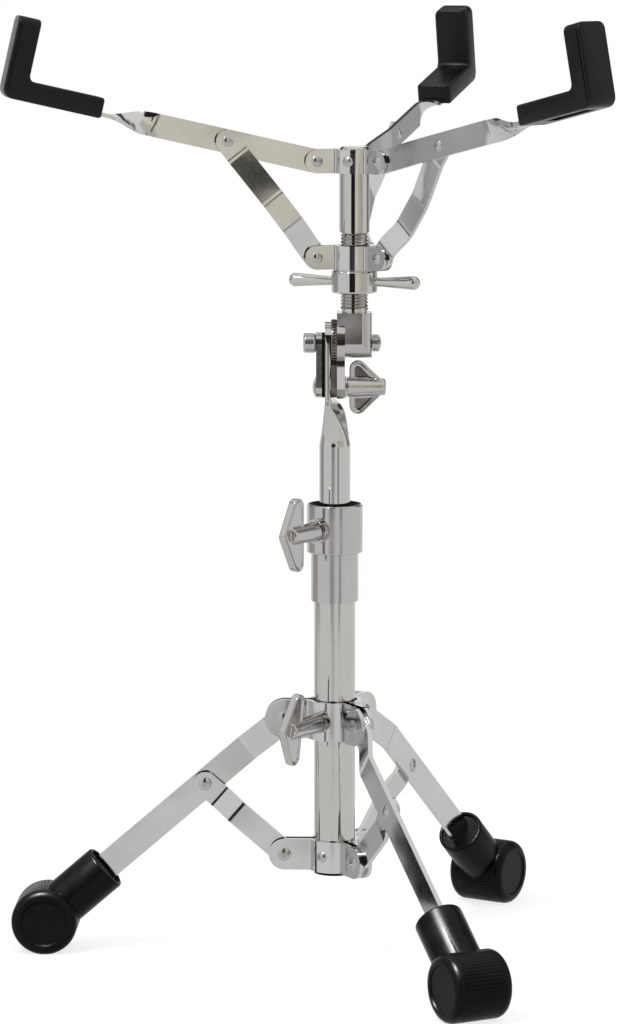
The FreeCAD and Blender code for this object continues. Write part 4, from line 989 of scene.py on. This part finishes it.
def light_world(settings):
    """White studio: even light on matt surfaces, white with a few dark patches in the metal."""
    world = bpy.data.worlds.new("studio")
    bpy.context.scene.world = world
    world.use_nodes = True
    shade = Shade(world.node_tree)
    direction = shade.node("ShaderNodeTexCoord", output="Generated")
    split = shade.node("ShaderNodeSeparateXYZ", None, {0: direction})
    x, y, z = (Wire(shade, output) for output in split.socket.node.outputs)
    azimuth = x.math("ARCTAN2", x, y * -1.0)
    level = settings.studio + z * (settings.studio * settings.lift)
    for *patch, depth in DARK_PATCHES:
        level = level * (1.0 - studio_patch(shade, azimuth, z, *patch) * depth)
    warm = studio_patch(shade, azimuth, z, *WARM_PATCH)
    tint = shade.blend(warm, WHITE[:3], settings.warm)
    studio = shade.node("ShaderNodeBackground", None, {"Color": tint, "Strength": level})
    white = shade.node("ShaderNodeBackground", None, {"Color": WHITE, "Strength": 1.0})
    dome = shade.node("ShaderNodeBackground", None, {"Color": WHITE, "Strength": settings.dome})
    metal = shade.node("ShaderNodeMixShader", None,
                       {0: shade.ray("Is Glossy Ray"), 1: dome, 2: studio})
    shown = shade.node("ShaderNodeMixShader", None,
                       {0: shade.ray("Is Camera Ray"), 1: metal, 2: white})
    shade.node("ShaderNodeOutputWorld", None, {"Surface": shown})


def set_camera(scene, settings):
    """Camera in front of the stand."""
    camera = bpy.data.cameras.new("photo_camera")
    camera.sensor_fit = "VERTICAL"
    camera.sensor_height = settings.sensor
    camera.lens = settings.lens
    camera.clip_end = settings.clip
    eye = bpy.data.objects.new("photo_camera", camera)
    eye.location = settings.eye
    eye.rotation_euler = (math.pi / 2 - settings.pitch, 0, 0)
    scene.collection.objects.link(eye)
    scene.camera = eye


# Lamps: place, aim, width and height, power in watts.
LAMPS = {
    "key_softbox": ((-0.7, -0.75, 1.9), (0, 0, 0.1), (0.12, 0.26), 12.5),
    "fill_softbox": ((1.9, -1.0, 1.2), (0, 0, 0.3), (1.3, 1.6), 7.0),
    "foot_softbox": ((-0.7, -0.75, 1.9), (0, 0, 0.1), (0.45, 0.80), 240.0),
}


def add_softbox(name, spot, target, size, power):
    """Soft rectangular lamp aimed at a point."""
    lamp = bpy.data.lights.new(name, "AREA")
    lamp.shape = "RECTANGLE"
    lamp.size, lamp.size_y = size
    lamp.energy = power
    obj = bpy.data.objects.new(name, lamp)
    obj.location = spot
    obj.rotation_euler = (Vector(target) - Vector(spot)).to_track_quat("-Z", "Y").to_euler()
    bpy.context.scene.collection.objects.link(obj)
    return obj


def hang_lamps(scene):
    """Key lamp, a fill that the metal doesn't mirror, and a lamp for the rubber feet alone."""
    lamps = {name: add_softbox(name, *values) for name, values in LAMPS.items()}
    lamps["fill_softbox"].visible_glossy = False
    feet = bpy.data.collections.new("rubber_feet")
    for foot in [obj for obj in scene.objects if obj.name.startswith("rubber_foot_")]:
        feet.objects.link(foot)
    lamps["foot_softbox"].light_linking.receiver_collection = feet


class STAND_OT_stage(bpy.types.Operator):
    """Set the camera, the soft light and the pale floor"""
    bl_idname = "stand.stage"
    bl_label = "Set the stage"

    def execute(self, context):
        scene = context.scene
        settings = scene.stand_stage
        scene.view_settings.view_transform = "Standard"
        set_camera(scene, settings)
        lay_floor(settings)
        light_world(settings)
        hang_lamps(scene)
        return {"FINISHED"}


class STAND_PT_panel(bpy.types.Panel):
    """Lists the steps that dress the stand"""
    bl_label = "Snare drum stand"
    bl_idname = "STAND_PT_panel"
    bl_space_type = "VIEW_3D"
    bl_region_type = "UI"
    bl_category = "Stand"

    def draw(self, context):
        for step in STEPS:
            self.layout.operator(step.bl_idname)


GROUPS = {
    "stand_claw": ClawSizes,
    "stand_foot": FootSizes,
    "stand_wing": WingSizes,
    "stand_post": PostSizes,
    "stand_ratchet": RatchetSizes,
    "stand_finish": FinishColours,
    "stand_stage": StageSettings,
}
STEPS = (STAND_OT_finishes, STAND_OT_claws, STAND_OT_feet, STAND_OT_wings, STAND_OT_post,
         STAND_OT_ratchet, STAND_OT_stage)


def register():
    """Registers the settings, the steps and the panel."""
    for name, group in GROUPS.items():
        bpy.utils.register_class(group)
        setattr(bpy.types.Scene, name, PointerProperty(type=group))
    for step in STEPS + (STAND_PT_panel,):
        bpy.utils.register_class(step)


def unregister():
    """Removes what register added."""
    for step in STEPS + (STAND_PT_panel,):
        bpy.utils.unregister_class(step)
    for name, group in GROUPS.items():
        delattr(bpy.types.Scene, name)
        bpy.utils.unregister_class(group)


def main():
    """Dresses the stand."""
    register()
    for step in STEPS:
        family, name = step.bl_idname.split(".")
        getattr(getattr(bpy.ops, family), name)()


if __name__ == "__main__":
    main()
